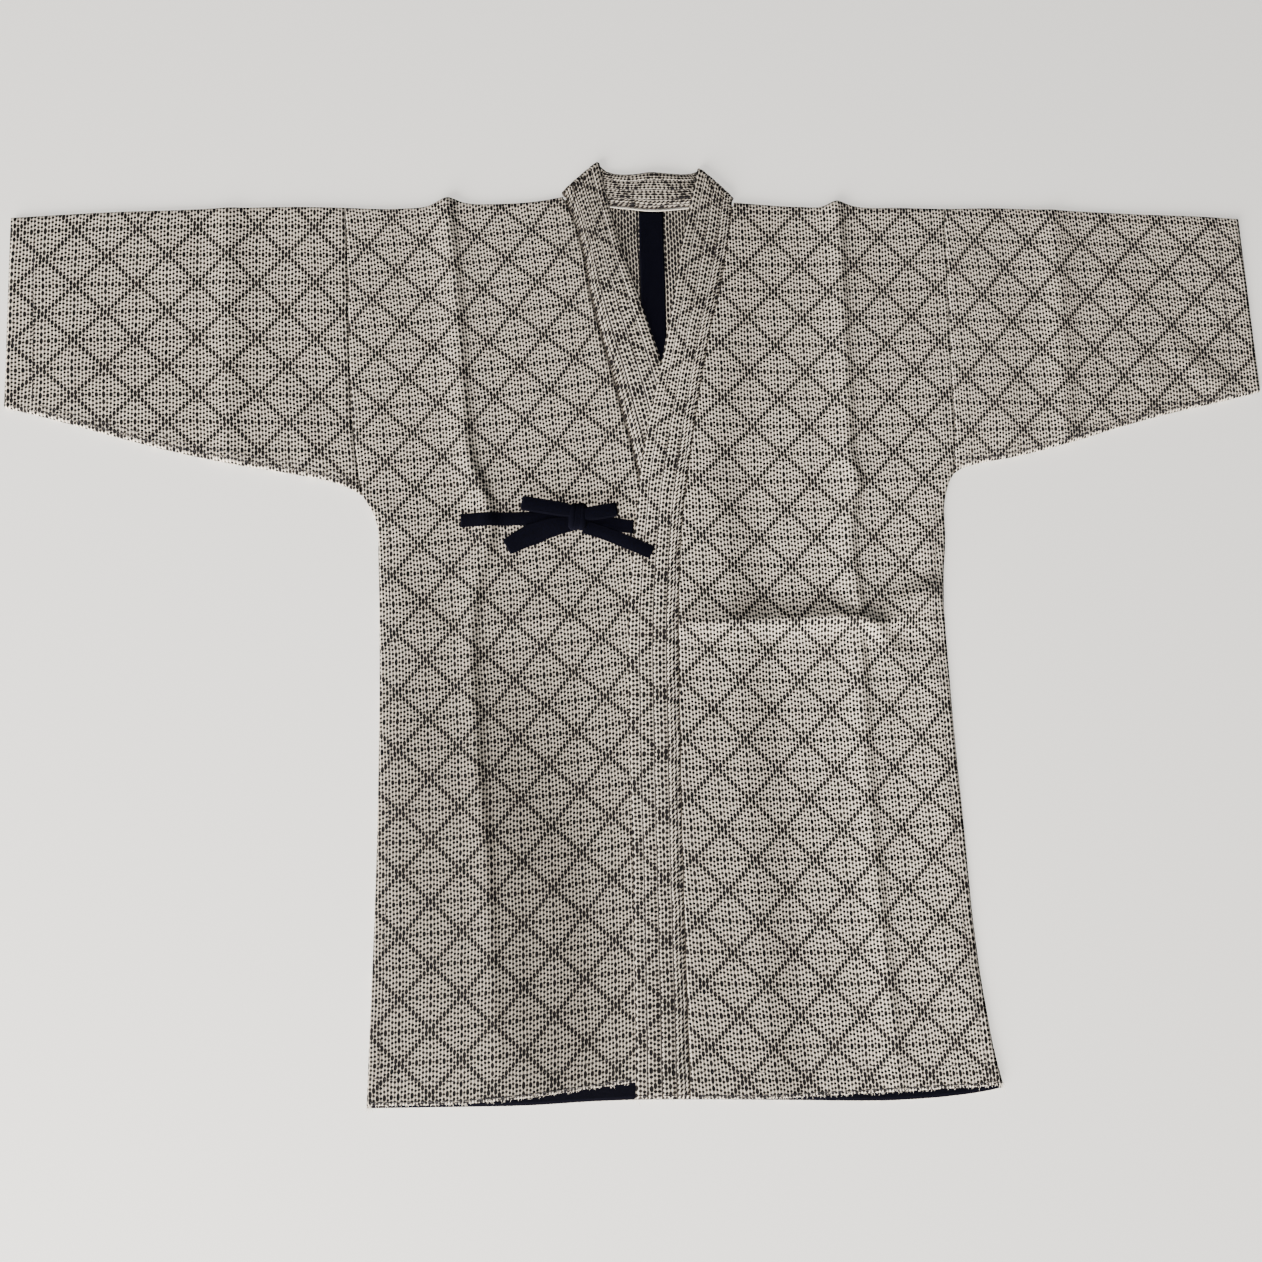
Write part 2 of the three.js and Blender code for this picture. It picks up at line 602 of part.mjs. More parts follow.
// The whole collar is one band: up the right front, round the neck and down the left front.
function collarRows() {
  const back = COLLAR_BACK.map(({ seamX, edgeX, edgeY, seamMid, edgeMid }) => collarLine(
    new THREE.Vector3(seamX, backNeckY(seamX) + SEAM_GAP + 0.3, seamMid),
    new THREE.Vector3(edgeX, edgeY, edgeMid),
    UP,
  ));
  return [
    ...collarFrontLines('right'),
    ...collarTurnLines('right'),
    ...back,
    ...collarTurnLines('left').reverse(),
    ...collarFrontLines('left').reverse(),
  ];
}

// Tape over the centre back seam, on the inside of the back.
function tapeRows() {
  const head = backNeckY(0) - 1.2;
  return [0, 0.25, 0.5, 0.75, 1].map((share) => {
    const y = mix(head, TAPE_FOOT, share);
    const middle = mix(-0.6, -4.4, share);
    return [-0.5, 0.5].map((part) => new THREE.Vector3(middle + part * TAPE_WIDTH, y, LINING_MID));
  });
}

// Facing along the back hem, on the inside of the back.
function facingRows() {
  const right = sideSeamX('right', -840) + FACING_INSET;
  const left = sideSeamX('left', -850) - FACING_INSET;
  const steps = 14;
  return Array.from({ length: steps + 1 }, (_, k) => {
    const x = mix(right, left, k / steps);
    const foot = hemY('back', x) + 0.4;
    return [foot, foot + FACING_WIDTH].map((y) => new THREE.Vector3(x, y, LINING_MID));
  });
}

// Height of the right front's upper face at a place, read on the piece itself.
const probe = new THREE.Raycaster();
function frontSurface(x, y) {
  probe.set(new THREE.Vector3(x, y, 100), new THREE.Vector3(0, 0, -1));
  return probe.intersectObject(jacket.getObjectByName('body_right'))[0].point.z;
}

// Height of the middle of a tie that lies on the right front, some layers of tie above it.
function tieMid(x, y, layer) {
  const shares = [-0.5, 0, 0.5];
  const frontTop = Math.max(...shares.map((share) => frontSurface(x, y + share * TIE_WIDTH)));
  return frontTop + TIE_GAP + TIE_THICK / 2 + layer * (TIE_THICK + SEAM_GAP);
}

// Lines across a tie along its middle points, each as wide as the tie.
function ribbonRows(middles) {
  return middles.map((point, k) => {
    const before = middles[Math.max(k - 1, 0)];
    const after = middles[Math.min(k + 1, middles.length - 1)];
    const across = after.clone().sub(before).setZ(0).normalize().cross(UP).multiplyScalar(TIE_WIDTH / 2);
    return [point.clone().sub(across), point.clone().add(across)];
  });
}

// A tie's stretch from its table, read at even steps.
function tieRows(table) {
  const first = table[0];
  const last = table[table.length - 1];
  const steps = Math.ceil(Math.abs(last.x - first.x) / TIE_STEP);
  const middles = Array.from({ length: steps + 1 }, (_, k) => {
    const x = mix(first.x, last.x, k / steps);
    const y = readTable(table, 'x', 'y', x);
    return new THREE.Vector3(x, y, tieMid(x, y, readTable(table, 'x', 'layer', x)));
  });
  return ribbonRows(middles);
}

// A loop of the bow: out from the knot in its lower layer, round the end and back in its upper layer.
function loopRows({ x, y, endX, endY, low, high }) {
  const start = new THREE.Vector3(x, y, 0);
  const out = new THREE.Vector3(endX, endY, 0).sub(start);
  const length = out.length();
  out.normalize();
  const across = out.clone().cross(UP).multiplyScalar(TIE_WIDTH / 2);
  const level = (layer) => tieMid(x, y, layer);
  const radius = (level(high) - level(low)) / 2;
  const reach = length - radius - TIE_THICK / 2;
  const middles = [];
  const add = (along, height) => middles.push(start.clone().addScaledVector(out, along).setZ(height));
  [0, 0.5, 1].forEach((share) => add(reach * share, level(low)));
  [-45, 0, 45].forEach((angle) => {
    const turn = THREE.MathUtils.degToRad(angle);
    add(reach + radius * Math.cos(turn), level(low) + radius + radius * Math.sin(turn));
  });
  [1, 0.5, 0].forEach((share) => add(reach * share, level(high)));
  return middles.map((point) => [point.clone().sub(across), point.clone().add(across)]);
}

// The knot: a short wrap of tie with rounded shoulders, made of rings along x.
function knotGeometry() {
  const { left, right, top, foot, low, high } = KNOT;
  const middleY = (top + foot) / 2;
  const middleZ = (low + high) / 2;
  const ringSteps = 16;
  const stations = [
    { share: 0, swell: 0.8 },
    { share: 0.15, swell: 0.96 },
    { share: 0.5, swell: 1 },
    { share: 0.85, swell: 0.96 },
    { share: 1, swell: 0.8 },
  ];
  const positions = [];
  stations.forEach(({ share, swell }) => {
    for (let k = 0; k < ringSteps; k += 1) {
      const turn = (2 * Math.PI * k) / ringSteps;
      const round = (value) => Math.sign(value) * Math.abs(value) ** 0.6;
      const y = middleY + round(Math.cos(turn)) * swell * (top - foot) / 2;
      const z = middleZ + round(Math.sin(turn)) * swell * (high - low) / 2;
      positions.push(mix(left, right, share), y, z);
    }
  });
  const hub = positions.length / 3;
  positions.push(left, middleY, middleZ, right, middleY, middleZ);
  const indices = [];
  const lastRing = (stations.length - 1) * ringSteps;
  for (let k = 0; k < ringSteps; k += 1) {
    const next = (k + 1) % ringSteps;
    indices.push(hub, next, k, hub + 1, lastRing + k, lastRing + next);
    for (let ring = 0; ring < lastRing; ring += ringSteps) {
      indices.push(ring + k, ring + next, ring + ringSteps + next);
      indices.push(ring + k, ring + ringSteps + next, ring + ringSteps + k);
    }
  }
  return solidGeometry(positions, indices);
}

const jacket = new THREE.Group();

function addPiece(name, geometry, finish) {
  const piece = new THREE.Mesh(geometry, new THREE.MeshStandardMaterial(finish));
  piece.name = name;
  jacket.add(piece);
}

for (const side of ['right', 'left']) {
  addPiece(`body_${side}`, wallGeometry(bodyRows(side), CLOTH), SASHIKO);
  addPiece(`sleeve_${side}`, wallGeometry(sleeveRows(side), CLOTH, true), SASHIKO);
}
addPiece('collar', wallGeometry(collarRows(), COLLAR_THICK), SASHIKO);
addPiece('centre_back_tape', wallGeometry(tapeRows(), TAPE_THICK), NAVY);
addPiece('back_hem_facing', wallGeometry(facingRows(), TAPE_THICK), NAVY);
for (const [name, table] of Object.entries(TIES)) {
  addPiece(name, wallGeometry(tieRows(table), TIE_THICK), NAVY);
}
for (const [name, loop] of Object.entries(LOOPS)) {
  addPiece(name, wallGeometry(loopRows(loop), TIE_THICK), NAVY);
}
addPiece('bow_knot', knotGeometry(), NAVY);

// The origin lies on the table, under the middle of the jacket's box.
const box = new THREE.Box3().setFromObject(jacket);
jacket.position.set(-(box.min.x + box.max.x) / 2, -(box.min.y + box.max.y) / 2, -box.min.z);

export default jacket;
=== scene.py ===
# %% [markdown]
# # A kendo jacket of sashiko cotton, laid flat on a pale table
#
# The jacket is one layer of thick cotton, woven so that dark marks stand between raised white threads and
# draw a net of diamonds. It has two body halves, two sleeves, one long collar band, a tape over the centre
# back seam, a facing along the back hem, and dark ties in a bow. This file makes the look of each of them.
#
# All patterns below are in millimetres, with x toward the wearer's left sleeve, y up toward the collar from
# the shoulder fold, and z up from the table. One step turns them into metres in the frame.

# %% Start: the frame and the tools
import math
import bmesh
import bpy
import numpy as np
from functools import partial
from mathutils import Matrix, Vector


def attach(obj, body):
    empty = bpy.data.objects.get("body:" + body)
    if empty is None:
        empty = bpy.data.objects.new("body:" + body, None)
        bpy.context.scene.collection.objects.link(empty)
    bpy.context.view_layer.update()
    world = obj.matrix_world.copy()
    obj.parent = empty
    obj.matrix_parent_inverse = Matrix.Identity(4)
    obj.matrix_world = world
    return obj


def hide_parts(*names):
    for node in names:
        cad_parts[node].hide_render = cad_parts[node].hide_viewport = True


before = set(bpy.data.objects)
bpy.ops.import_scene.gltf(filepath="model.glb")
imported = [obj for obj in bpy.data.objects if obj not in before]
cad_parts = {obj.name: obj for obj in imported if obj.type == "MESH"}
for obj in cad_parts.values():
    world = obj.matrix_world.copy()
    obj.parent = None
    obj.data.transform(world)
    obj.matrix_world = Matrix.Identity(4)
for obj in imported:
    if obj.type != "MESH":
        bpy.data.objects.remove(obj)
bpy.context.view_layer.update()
MIDDLE = np.array([1.7188, 403.964, 0.0])


def metres(points):
    """Places on the pattern, in millimetres, as places in the frame."""
    return (np.asarray(points, float) + MIDDLE) / 1000


def set_out(name, data):
    """An object made of a mesh, a curve, a lamp or a camera, put in the scene."""
    obj = bpy.data.objects.new(name, data)
    bpy.context.scene.collection.objects.link(obj)
    return obj


def as_mesh(name, bm):
    """The bmesh as a mesh of its own."""
    mesh = bpy.data.meshes.new(name)
    bm.to_mesh(mesh)
    bm.free()
    return mesh


print("frame loaded with", len(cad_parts), "solids")

# %% [markdown]
# ## Reading a pattern
#
# A pattern is drafted from a few measured points, and the line between them is drawn with a French curve.
# The same is done here: a table has the points, and a smooth curve passes through all of them. It could
# also be a Bezier curve object, but then every height and edge would need a search along that curve.

# %% Curves through measured points
def curve(keys, values, at):
    """Value of a smooth curve through the points of a table."""
    keys, values = np.asarray(keys, float), np.asarray(values, float)
    if keys[0] > keys[-1]:
        keys, values = keys[::-1], values[::-1]
    slopes = np.gradient(values, keys)
    at = np.clip(at, keys[0], keys[-1])
    cell = np.clip(np.searchsorted(keys, at) - 1, 0, len(keys) - 2)
    width = keys[cell + 1] - keys[cell]
    t = (at - keys[cell]) / width
    start = (2 * t**3 - 3 * t**2 + 1) * values[cell] + (t**3 - 2 * t**2 + t) * width * slopes[cell]
    end = (3 * t**2 - 2 * t**3) * values[cell + 1] + (t**3 - t**2) * width * slopes[cell + 1]
    return start + end


def mix(a, b, share):
    return a + (b - a) * share


def ease(value, low, high):
    """0 below low, 1 above high and a soft step between them."""
    share = np.clip((value - low) / (high - low), 0, 1)
    return share * share * (3 - 2 * share)


def near(value, reach):
    """1 at zero, falling evenly to 0 at the reach on either side."""
    return np.maximum(0, 1 - np.abs(value) / reach)


def boxy(wave, power):
    """A sine or cosine filled out toward a box by a power below one."""
    return np.sign(wave) * np.abs(wave) ** power


def length_along(line):
    """Length along a line of places, from its start to each of them."""
    return np.concatenate([[0], np.cumsum(np.linalg.norm(np.diff(line, axis=0), axis=1))])


print("halfway up a soft step the share is", ease(0.5, 0, 1))

# %% [markdown]
# ## The outline of the jacket
#
# A jacket like this is cut from straight widths of cloth. Washing, folding and laying it out bends the
# straight edges a little, and that slight bend is what makes it look like cloth and not like paper. So the
# seams, hems and folds below are measured lines and not straight ones.

# %% Edges, seams and hems
SIGN = {"right": -1, "left": 1}
PIT = {"right": -289, "left": -278}
CUFF = {"right": -608.6, "left": 605.2}
NECK = {"right": -87, "left": 82}
CLOTH = 1.6
BACK_MID = 1.0
FRONT_MID = 4.4
SIDE_SEAM_MID = 2.85
SIDE_DROP_REACH = 20

ARMHOLE = {
    "share": [0.0, 0.2, 0.41, 0.55, 0.68, 0.83, 0.92, 1.0],
    "right": [-297.7, -295.9, -295.3, -294.8, -294.0, -290.5, -287.5, -284.0],
    "left": [296.4, 294.0, 291.8, 290.2, 288.8, 287.4, 286.0, 283.0],
}
SIDE_SEAM = {
    "right": {"y": [-289, -299, -316, -345, -425, -534, -641, -744, -840],
              "x": [-284, -277.6, -271.2, -270.3, -270, -272, -275.7, -281, -285.9]},
    "left": {"y": [-278, -284, -294, -343, -402, -498, -610, -720, -773, -817, -855],
             "x": [283, 278.4, 274.3, 269, 263.4, 262, 263.8, 266, 269.5, 274.4, 281.6]},
}
SHOULDER = {
    "x": [-297.7, -246, -217, -200, -183, -149, -110, -87, 82, 109, 149, 172, 186, 203, 251, 296.4],
    "y": [-0.5, -1.4, 1.8, 9.6, 4.7, 3.7, 6.8, 11.1, 4.8, 2.7, 0.6, 0.8, 6.2, 1.4, -0.5, -1.6],
}
SLEEVE = {
    "out": [283, 289.5, 305, 342, 398, 454, 510, 565, 609],
    "top_right": [-0.5, -0.5, -0.2, 0.5, -0.5, -2.6, -4.6, -7.7, -10.7],
    "foot_right": [-289.5, -284.3, -276.3, -266.9, -256, -242.6, -226.6, -209.8, -198],
    "top_left": [-1.6, -1.6, -1.5, -0.9, -2.4, -5.2, -8.0, -10.0, -12.8],
    "foot_left": [-278, -273.2, -268.5, -262.2, -249.4, -233.4, -219.6, -208.2, -198.4],
}
HEM = {
    "x": [-286, -214, -150, -84, -52, -4, 52, 95, 185, 231, 264, 282],
    "back": [-834.8, -838, -840.6, -840.7, -841.5, -844, -847.5, -850.4, -855.6, -855, -852.6, -850],
    "right": [-832.3, -834, -832.2, -828.3, -826, -824.6, -823.4, -823.4, -823.4, -823.4, -823.4, -823.4],
    "left": [-838.9, -838.9, -838.9, -838.9, -838.9, -841.7, -844.9, -846.6, -847.2, -847.4, -847.4, -845.8],
}
BACK_NECK = {
    "x": [-87, -66, -44, -22, 0, 22, 42, 62, 82],
    "y": [8.4, 5.2, 2.4, 0.0, -2.1, -0.8, 1.0, 1.8, 2.1],
}


def armhole_x(side, y):
    return curve(ARMHOLE["share"], ARMHOLE[side], y / PIT[side])


def side_seam_x(side, y):
    return curve(SIDE_SEAM[side]["y"], SIDE_SEAM[side]["x"], y)


def body_edge_x(side, y):
    return np.where(y > PIT[side], armhole_x(side, y), side_seam_x(side, y))


def hem_y(piece, x):
    return curve(HEM["x"], HEM[piece], x)


def shoulder_y(x):
    return curve(SHOULDER["x"], SHOULDER["y"], x)


def back_neck_y(x):
    return curve(BACK_NECK["x"], BACK_NECK["y"], x)


def foot_y(side, out):
    """Where a sleeve's foot lies, some way out from the jacket's middle."""
    return curve(SLEEVE["out"], SLEEVE[f"foot_{side}"], out)


print("jacket is", round(CUFF["left"] - CUFF["right"]), "mm from cuff to cuff")

# %% [markdown]
# ## The collar's two edges
#
# The collar is one folded band, sewn to the fronts along one side and free along the other. Where the
# wearer's left front lies over the right one, the two bands lie on each other and the upper one is lifted
# by them.

# %% The collar's line
COLLAR = {
    "y": [45, 10, -10, -45, -90, -130, -170, -210, -265, -320, -395, -525, -600, -670, -850],
    "seam_right": [-96, -86.4, -78.4, -69.8, -63.7, -55.8, -46.5, -38, -26, -17, -8, -2, 0.6, 1.6, 4],
    "edge_right": [-50.6, -44.5, -40, -31.5, -18.5, -7, 4, 13, 23, 31.5, 38.5, 44, 45.6, 47, 52],
    "seam_left": [88, 81.5, 78.2, 72, 62.3, 50.4, 41.7, 33.5, 23, 14, 7, 2, -0.4, -1.6, -4.4],
    "edge_left": [49.5, 40.3, 35.3, 27, 18, 9.5, 0.5, -10, -22, -29.5, -38.7, -44.3, -45.6, -46.9, -52.6],
    "mid_right": [6.7, 6.7, 6.6, 6.0, 5.7, 5.6, 5.6, 5.5, 5.4, 5.4, 5.4, 5.4, 5.4, 5.4, 5.4],
    "mid_left": [6.7, 6.7, 6.8, 7.2, 8.6, 10.4, 10.8, 10.8, 10.8, 10.8, 10.8, 10.8, 10.8, 8.2, 8.0],
}
COLLAR_RISE = {"y": [0, -30, -60, -200, -300, -400, -500], "rise": [24, 15, 11, 9, 6, 2, 0]}
COLLAR_TURN = {
    "right": {"seam": (-86, 12.6), "edge": (-50.6, 44.4)},
    "left": {"seam": (80, 6.4), "edge": (47.5, 38.2)},
}
COLLAR_BACK = {
    "seam_x": [-64, -44, -22, 0, 22, 42, 60],
    "edge_x": [-43, -32, -17, 0, 17, 31, 41],
    "edge_y": [37.0, 33.4, 32.6, 34.6, 33.6, 33.6, 35.2],
    "seam_mid": [2.2, 2.6, 2.9, 3.0, 2.9, 2.6, 2.2],
    "edge_mid": [2.6, 4.6, 6.4, 7.0, 6.4, 4.6, 2.6],
}
COLLAR_GAP = 0.4
COLLAR_THICK = 3.6
COLLAR_BACK_MID = 2.0
COLLAR_WIDTH = 46


def collar_x(name, side, y):
    return curve(COLLAR["y"], COLLAR[f"{name}_{side}"], y)


# %% [markdown]
# ## Folds and creases
#
# Thick cotton that was folded in a drawer keeps the press lines when it is opened. Each press line is a low
# tent: a fairly sharp crest with a short steep side and a longer soft side, drawn here as a wide soft tent
# with a narrow sharp one on it. The small puckers are short, soft ridges and troughs, none of them equal.
# They could come from a cloth simulation, but then the crests would not lie where they do on the real
# jacket, so they are placed one by one.

# %% Heights of the upper layer
LONG_CREASE = {
    "right": {"y": [12, -97, -197, -261, -290, -340, -372, -406, -508, -645, -760, -850],
              "x": [-200, -192.7, -189, -183, -172, -169, -180, -185, -185, -177, -173, -170],
              "height": [2.6, 2.6, 2.8, 3.2, 3.4, 3.0, 3.0, 3.0, 2.6, 2.2, 1.2, 0]},
    "left": {"y": [12, -97, -199, -268, -284, -308, -415, -527, -698, -808, -860],
             "x": [186, 183.8, 182.2, 181.5, 186, 179, 177.5, 176, 178.4, 183.8, 185],
             "height": [2.6, 2.6, 2.4, 3.0, 3.2, 2.8, 3.0, 2.2, 2.0, 1.4, 0.6]},
}
WAIST_CREASE = {
    "x": [-300, -250, -105, -20, 11, 64, 121, 177, 197, 222, 245, 266, 300],
    "y": [-414, -414, -411, -415, -418.7, -418.5, -418.3, -418.9, -424, -416, -400, -394, -394],
    "height": [0, 0.6, 0.8, 0.8, 2.0, 4.4, 5.4, 5.4, 5.0, 3.6, 2.4, 0.4, 0],
}
WAIST_LEVEL = -417
SLEEVE_CREASE = {
    "right": {"y": [10, -130, -300], "x": [-408.6, -407.5, -406.5], "height": [3.0, 2.8, 2.0]},
    "left": {"y": [10, -132, -300], "x": [409.4, 404.1, 394], "height": [2.6, 3.4, 2.8]},
}
OVERLAP_LIFT = {"y": [20, -60, -130, -200, -860], "lift": [1.2, 2.4, 4.4, 5.3, 5.3]}
OVERLAP_MARGIN = 12
OVERLAP_REACH = 46
RIGHT_SWELL = 8.0
REST_LIFT = 0.25
# Press lines as tents: share of the height, width before and after the crest, and how round the crest is.
LONG_TENTS = [(0.5, 44, 34, 1.6), (1.15, 22, 9, 0.7)]
WAIST_TENTS = [(0.55, 74, 46, 1.6), (0.9, 20, 24, 0.8)]
SLEEVE_TENTS = [(1.0, 24, 24, 1.6)]

# Short puckers: both ends, height (a trough is negative) and half width.
PUCKERS = [
    (-200, 6, -203, -60, 0.7, 7), (-174, 2, -176, -70, -0.5, 8), (186, 3, 190, -70, 0.6, 7),
    (-172, -262, -196, -318, 1.0, 6), (-176, -300, -205, -352, -0.7, 9), (-166, -330, -190, -380, 0.8, 6),
    (186, -262, 174, -330, 0.9, 7), (196, -270, 188, -330, -0.7, 8),
    (174, -412, 214, -452, 3.4, 9), (196, -432, 258, -446, -2.6, 13), (206, -410, 270, -380, 2.8, 10),
    (200, -390, 262, -362, -1.4, 12), (236, -360, 262, -352, 0.8, 9), (232, -470, 262, -492, 0.8, 12),
    (240, -560, 258, -640, 0.6, 10), (226, -700, 262, -770, 0.7, 14), (-262, -352, -240, -420, 0.7, 10),
    (-268, -520, -246, -470, 0.6, 10), (-262, -600, -240, -700, 0.6, 14), (-280, -290, -236, -330, 0.9, 10),
    (-286, -270, -258, -210, 0.7, 10), (282, -270, 246, -318, 0.9, 10), (286, -255, 258, -200, 0.7, 10),
    (-110, -600, -118, -800, 0.9, 16), (-140, -640, -136, -820, -0.5, 14), (-120, -440, -104, -580, 0.5, 16),
    (90, -520, 96, -700, 0.5, 18), (120, -120, 132, -300, 0.5, 16), (-130, -80, -140, -240, 0.5, 16),
    (-500, -216, -470, -140, 1.2, 10), (-560, -190, -540, -120, 1.1, 9), (-330, -262, -350, -180, 1.2, 12),
    (-460, -20, -450, -110, 0.8, 14), (512, -146, 574, -206, 2.2, 12), (560, -196, 566, -150, 0.9, 7),
    (500, -205, 470, -150, 1.2, 11), (330, -255, 352, -180, 1.1, 12), (470, -30, 480, -130, 0.8, 14),
    (330, -40, 340, -150, 0.7, 14), (-330, -40, -326, -160, 0.7, 14), (440, -225, 425, -160, 0.9, 9),
    (575, -60, 560, -130, 0.9, 12),
]


def press_line(distance, tents):
    """Height share of a press line: its tents are highest on the crest and fall to 0 on unequal sides."""
    height = 0
    for part, before, after, crest in tents:
        from_crest = np.sqrt(distance**2 + crest**2) - crest
        height = height + part * np.clip(1 - from_crest / np.where(distance < 0, before, after), 0, 1) ** 1.6
    return height


def pucker(x, y, x1, y1, x2, y2, height, width):
    """Height of one short soft ridge or trough between two points."""
    length = math.hypot(x2 - x1, y2 - y1)
    along = ((x - x1) * (x2 - x1) + (y - y1) * (y2 - y1)) / length**2
    off = ((x - x1) * (y2 - y1) - (y - y1) * (x2 - x1)) / length
    return height * np.sin(math.pi * np.clip(along, 0, 1)) * np.exp(-(off / width) ** 2)


def creases(side, x, y):
    """Height of all the folds of the upper layer."""
    line = LONG_CREASE[side]
    off = x - curve(line["y"], line["x"], y)
    long = curve(line["y"], line["height"], y) * press_line(off, LONG_TENTS)
    if side == "right":
        long = long + RIGHT_SWELL * ease(-y, 430, 640) * (1 - ease(off, 6, 98)) * ease(off, -110, 0)
    rise = y - curve(WAIST_CREASE["x"], WAIST_CREASE["y"], x)
    waist = np.clip(curve(WAIST_CREASE["x"], WAIST_CREASE["height"], x), 0, None)
    waist = waist * press_line(rise, WAIST_TENTS)
    line = SLEEVE_CREASE[side]
    cuff = curve(line["y"], line["height"], y) * press_line(x - curve(line["y"], line["x"], y), SLEEVE_TENTS)
    small = sum(pucker(x, y, *one) for one in PUCKERS if one[0] * SIGN[side] > 0)
    wave = 0.32 * np.sin(x / 23 + 1.3 * np.sin(y / 61)) * np.sin(y / 37 + 0.8 * np.sin(x / 47))
    return np.maximum(long, waist) + cuff + (small + wave + REST_LIFT) * ease(np.abs(x), 66, 110)


def front_mid(side, x, y):
    """Middle height of the upper layer of a front or a sleeve."""
    from_seam = np.abs(side_seam_x(side, y) - x)
    along_seam = ease(PIT[side] - 8 - y, 0, 30) * ease(y, -785, -745)
    drop = (FRONT_MID - SIDE_SEAM_MID) * along_seam * (1 - ease(from_seam, 0, SIDE_DROP_REACH))
    lift = 0
    if side == "left":
        lifted = np.maximum(collar_x("seam", "left", y), collar_x("edge", "right", y)) + OVERLAP_MARGIN
        rise = np.interp(-y, -np.array(OVERLAP_LIFT["y"], float), OVERLAP_LIFT["lift"])
        lift = rise * (1 - ease(x, lifted, lifted + OVERLAP_REACH))
    return FRONT_MID - drop + lift + creases(side, x, y) * ease(from_seam, -2, 6)


def half_gap(side, x, y):
    """Half the height between the middles of the lower and the upper layer: the radius of a fold there."""
    return (front_mid(side, x, y) - BACK_MID) / 2


crossing = front_mid("left", 177.5, -418.9)
print("where its creases cross, the left front's middle is", round(float(crossing), 1), "mm up")

# %% [markdown]
# ## How the weave is counted
#
# The diamonds run true to the threads, so on the cloth a place is told best by counting threads: columns of
# marks across, and steps along them. Nine columns and nine steps lie from one crossing of the diamonds to
# the next. Each piece was cut on its own, so each has its own count, and the cloth is a little askew where
# it was pulled. That count becomes the UV map, and the material draws the marks from it.

# %% Thread counts
COUNT = {
    "sleeve_right": [(19.535, 2.400), (0.104, 9.772), (-0.289, -0.427), (11.880, 1.085), (0.170, -0.518),
                     (0.346, 0.435)],
    "body_right": [(5.558, 15.079), (1.141, 10.824), (0.275, 0.001), (11.142, -2.320), (0.074, -0.290),
                   (-0.109, -0.810)],
    "body_left": [(-2.201, 11.105), (-0.226, 10.903), (-0.131, -0.015), (10.703, 0.627), (0.057, -0.117),
                  (0.178, -0.631)],
    "sleeve_left": [(-14.666, 2.981), (1.056, 10.050), (0.609, -0.142), (12.369, 0.170), (-0.235, 0.411),
                    (-0.548, 0.105)],
}
COLUMN = 3.13
STEP = 3.08


def threads(piece, x, y):
    """Thread count at a place: columns across and steps along."""
    across, along = x / 300, np.minimum(y, 0) / 300
    terms = np.stack([across**0, along, along**2, across, across * along, across**2], -1)
    count = terms @ np.array(COUNT[piece]) * 9
    count[..., 1] += np.maximum(y, 0) / STEP
    return count


print("a diamond is", round(18 * COLUMN, 1), "mm wide and", round(18 * STEP, 1), "mm high")

# %% [markdown]
# ## Laying cloth
#
# Every cloth piece starts as a flat grid, like the cut cloth itself, and each crossing of the grid is
# carried to its place on the jacket. The shell gets the cloth's thickness from a solidify step, so both
# faces and all cut edges are real. Moving a grid is simpler and more even than building faces one by one.

# %% From a grid of places to a cloth shell
def lay_cloth(name, places, counts, thickness, tube=False):
    """A cloth shell whose middle passes through rows of places (mm), with its thread count as UV map."""
    rows, columns = places.shape[:2]
    bm = bmesh.new()
    bmesh.ops.create_grid(bm, x_segments=columns - 1, y_segments=rows - 1, size=0.5, calc_uvs=False)
    mesh = as_mesh(name, bm)
    flat = np.empty(len(mesh.vertices) * 3)
    mesh.vertices.foreach_get("co", flat)
    flat = flat.reshape(-1, 3)
    across = np.rint((flat[:, 0] + 0.5) * (columns - 1)).astype(int)
    along = np.rint((flat[:, 1] + 0.5) * (rows - 1)).astype(int)
    mesh.vertices.foreach_set("co", metres(places[along, across]).ravel())
    corner = np.empty(len(mesh.loops), int)
    mesh.loops.foreach_get("vertex_index", corner)
    uv = mesh.uv_layers.new(name="threads")
    uv.data.foreach_set("uv", counts[along, across][corner].astype(np.float32).ravel())
    obj = set_out(name, mesh)
    if tube:
        weld = obj.modifiers.new("closed", "WELD")
        weld.merge_threshold = 0.00001
    if thickness:
        shell = obj.modifiers.new("thickness", "SOLIDIFY")
        shell.thickness = thickness / 1000
        shell.offset = 0
    settle(obj)
    return obj


def settle(obj):
    """Makes the modifiers' shape the object's own, with its faces turned outward and shaded smooth."""
    shape = bpy.data.meshes.new_from_object(obj.evaluated_get(bpy.context.evaluated_depsgraph_get()))
    obj.modifiers.clear()
    obj.data = shape
    bm = bmesh.new()
    bm.from_mesh(shape)
    bmesh.ops.recalc_face_normals(bm, faces=bm.faces)
    if bm.calc_volume(signed=True) < 0:
        bmesh.ops.reverse_faces(bm, faces=bm.faces)
    for face in bm.faces:
        face.smooth = True
    bm.to_mesh(shape)
    bm.free()


print("cloth shells are", CLOTH, "mm thick")

# %% [markdown]
# ## The body halves
#
# Each half is one length of cloth from the back hem over the shoulder to the front hem, with no shoulder
# seam. The back lies flat on the table, and the front lies on it. The shoulder is a real fold, so it is a
# half round between the two layers.

# %% Two body halves
ACROSS = np.linspace(0, 1, 84)
FOLD_TURNS = np.radians(np.linspace(-90, 90, 9))
SHOULDER_BEND = 110
LINE_BEND = 60
CENTRE_SEAM_X = 0.15
# Lines across a front lie a row apart, and closer together over the waist crease.
ROW = 3.6
WAIST_ROW = 2
WAIST_ROWS = (-385, -450)
# The back's lines are level up to here, and from there on they lean into the shoulder fold.
BACK_FINER = -300
BACK_LEVEL = -15


def front_hem(side):
    return hem_y(side, side_seam_x(side, -846))


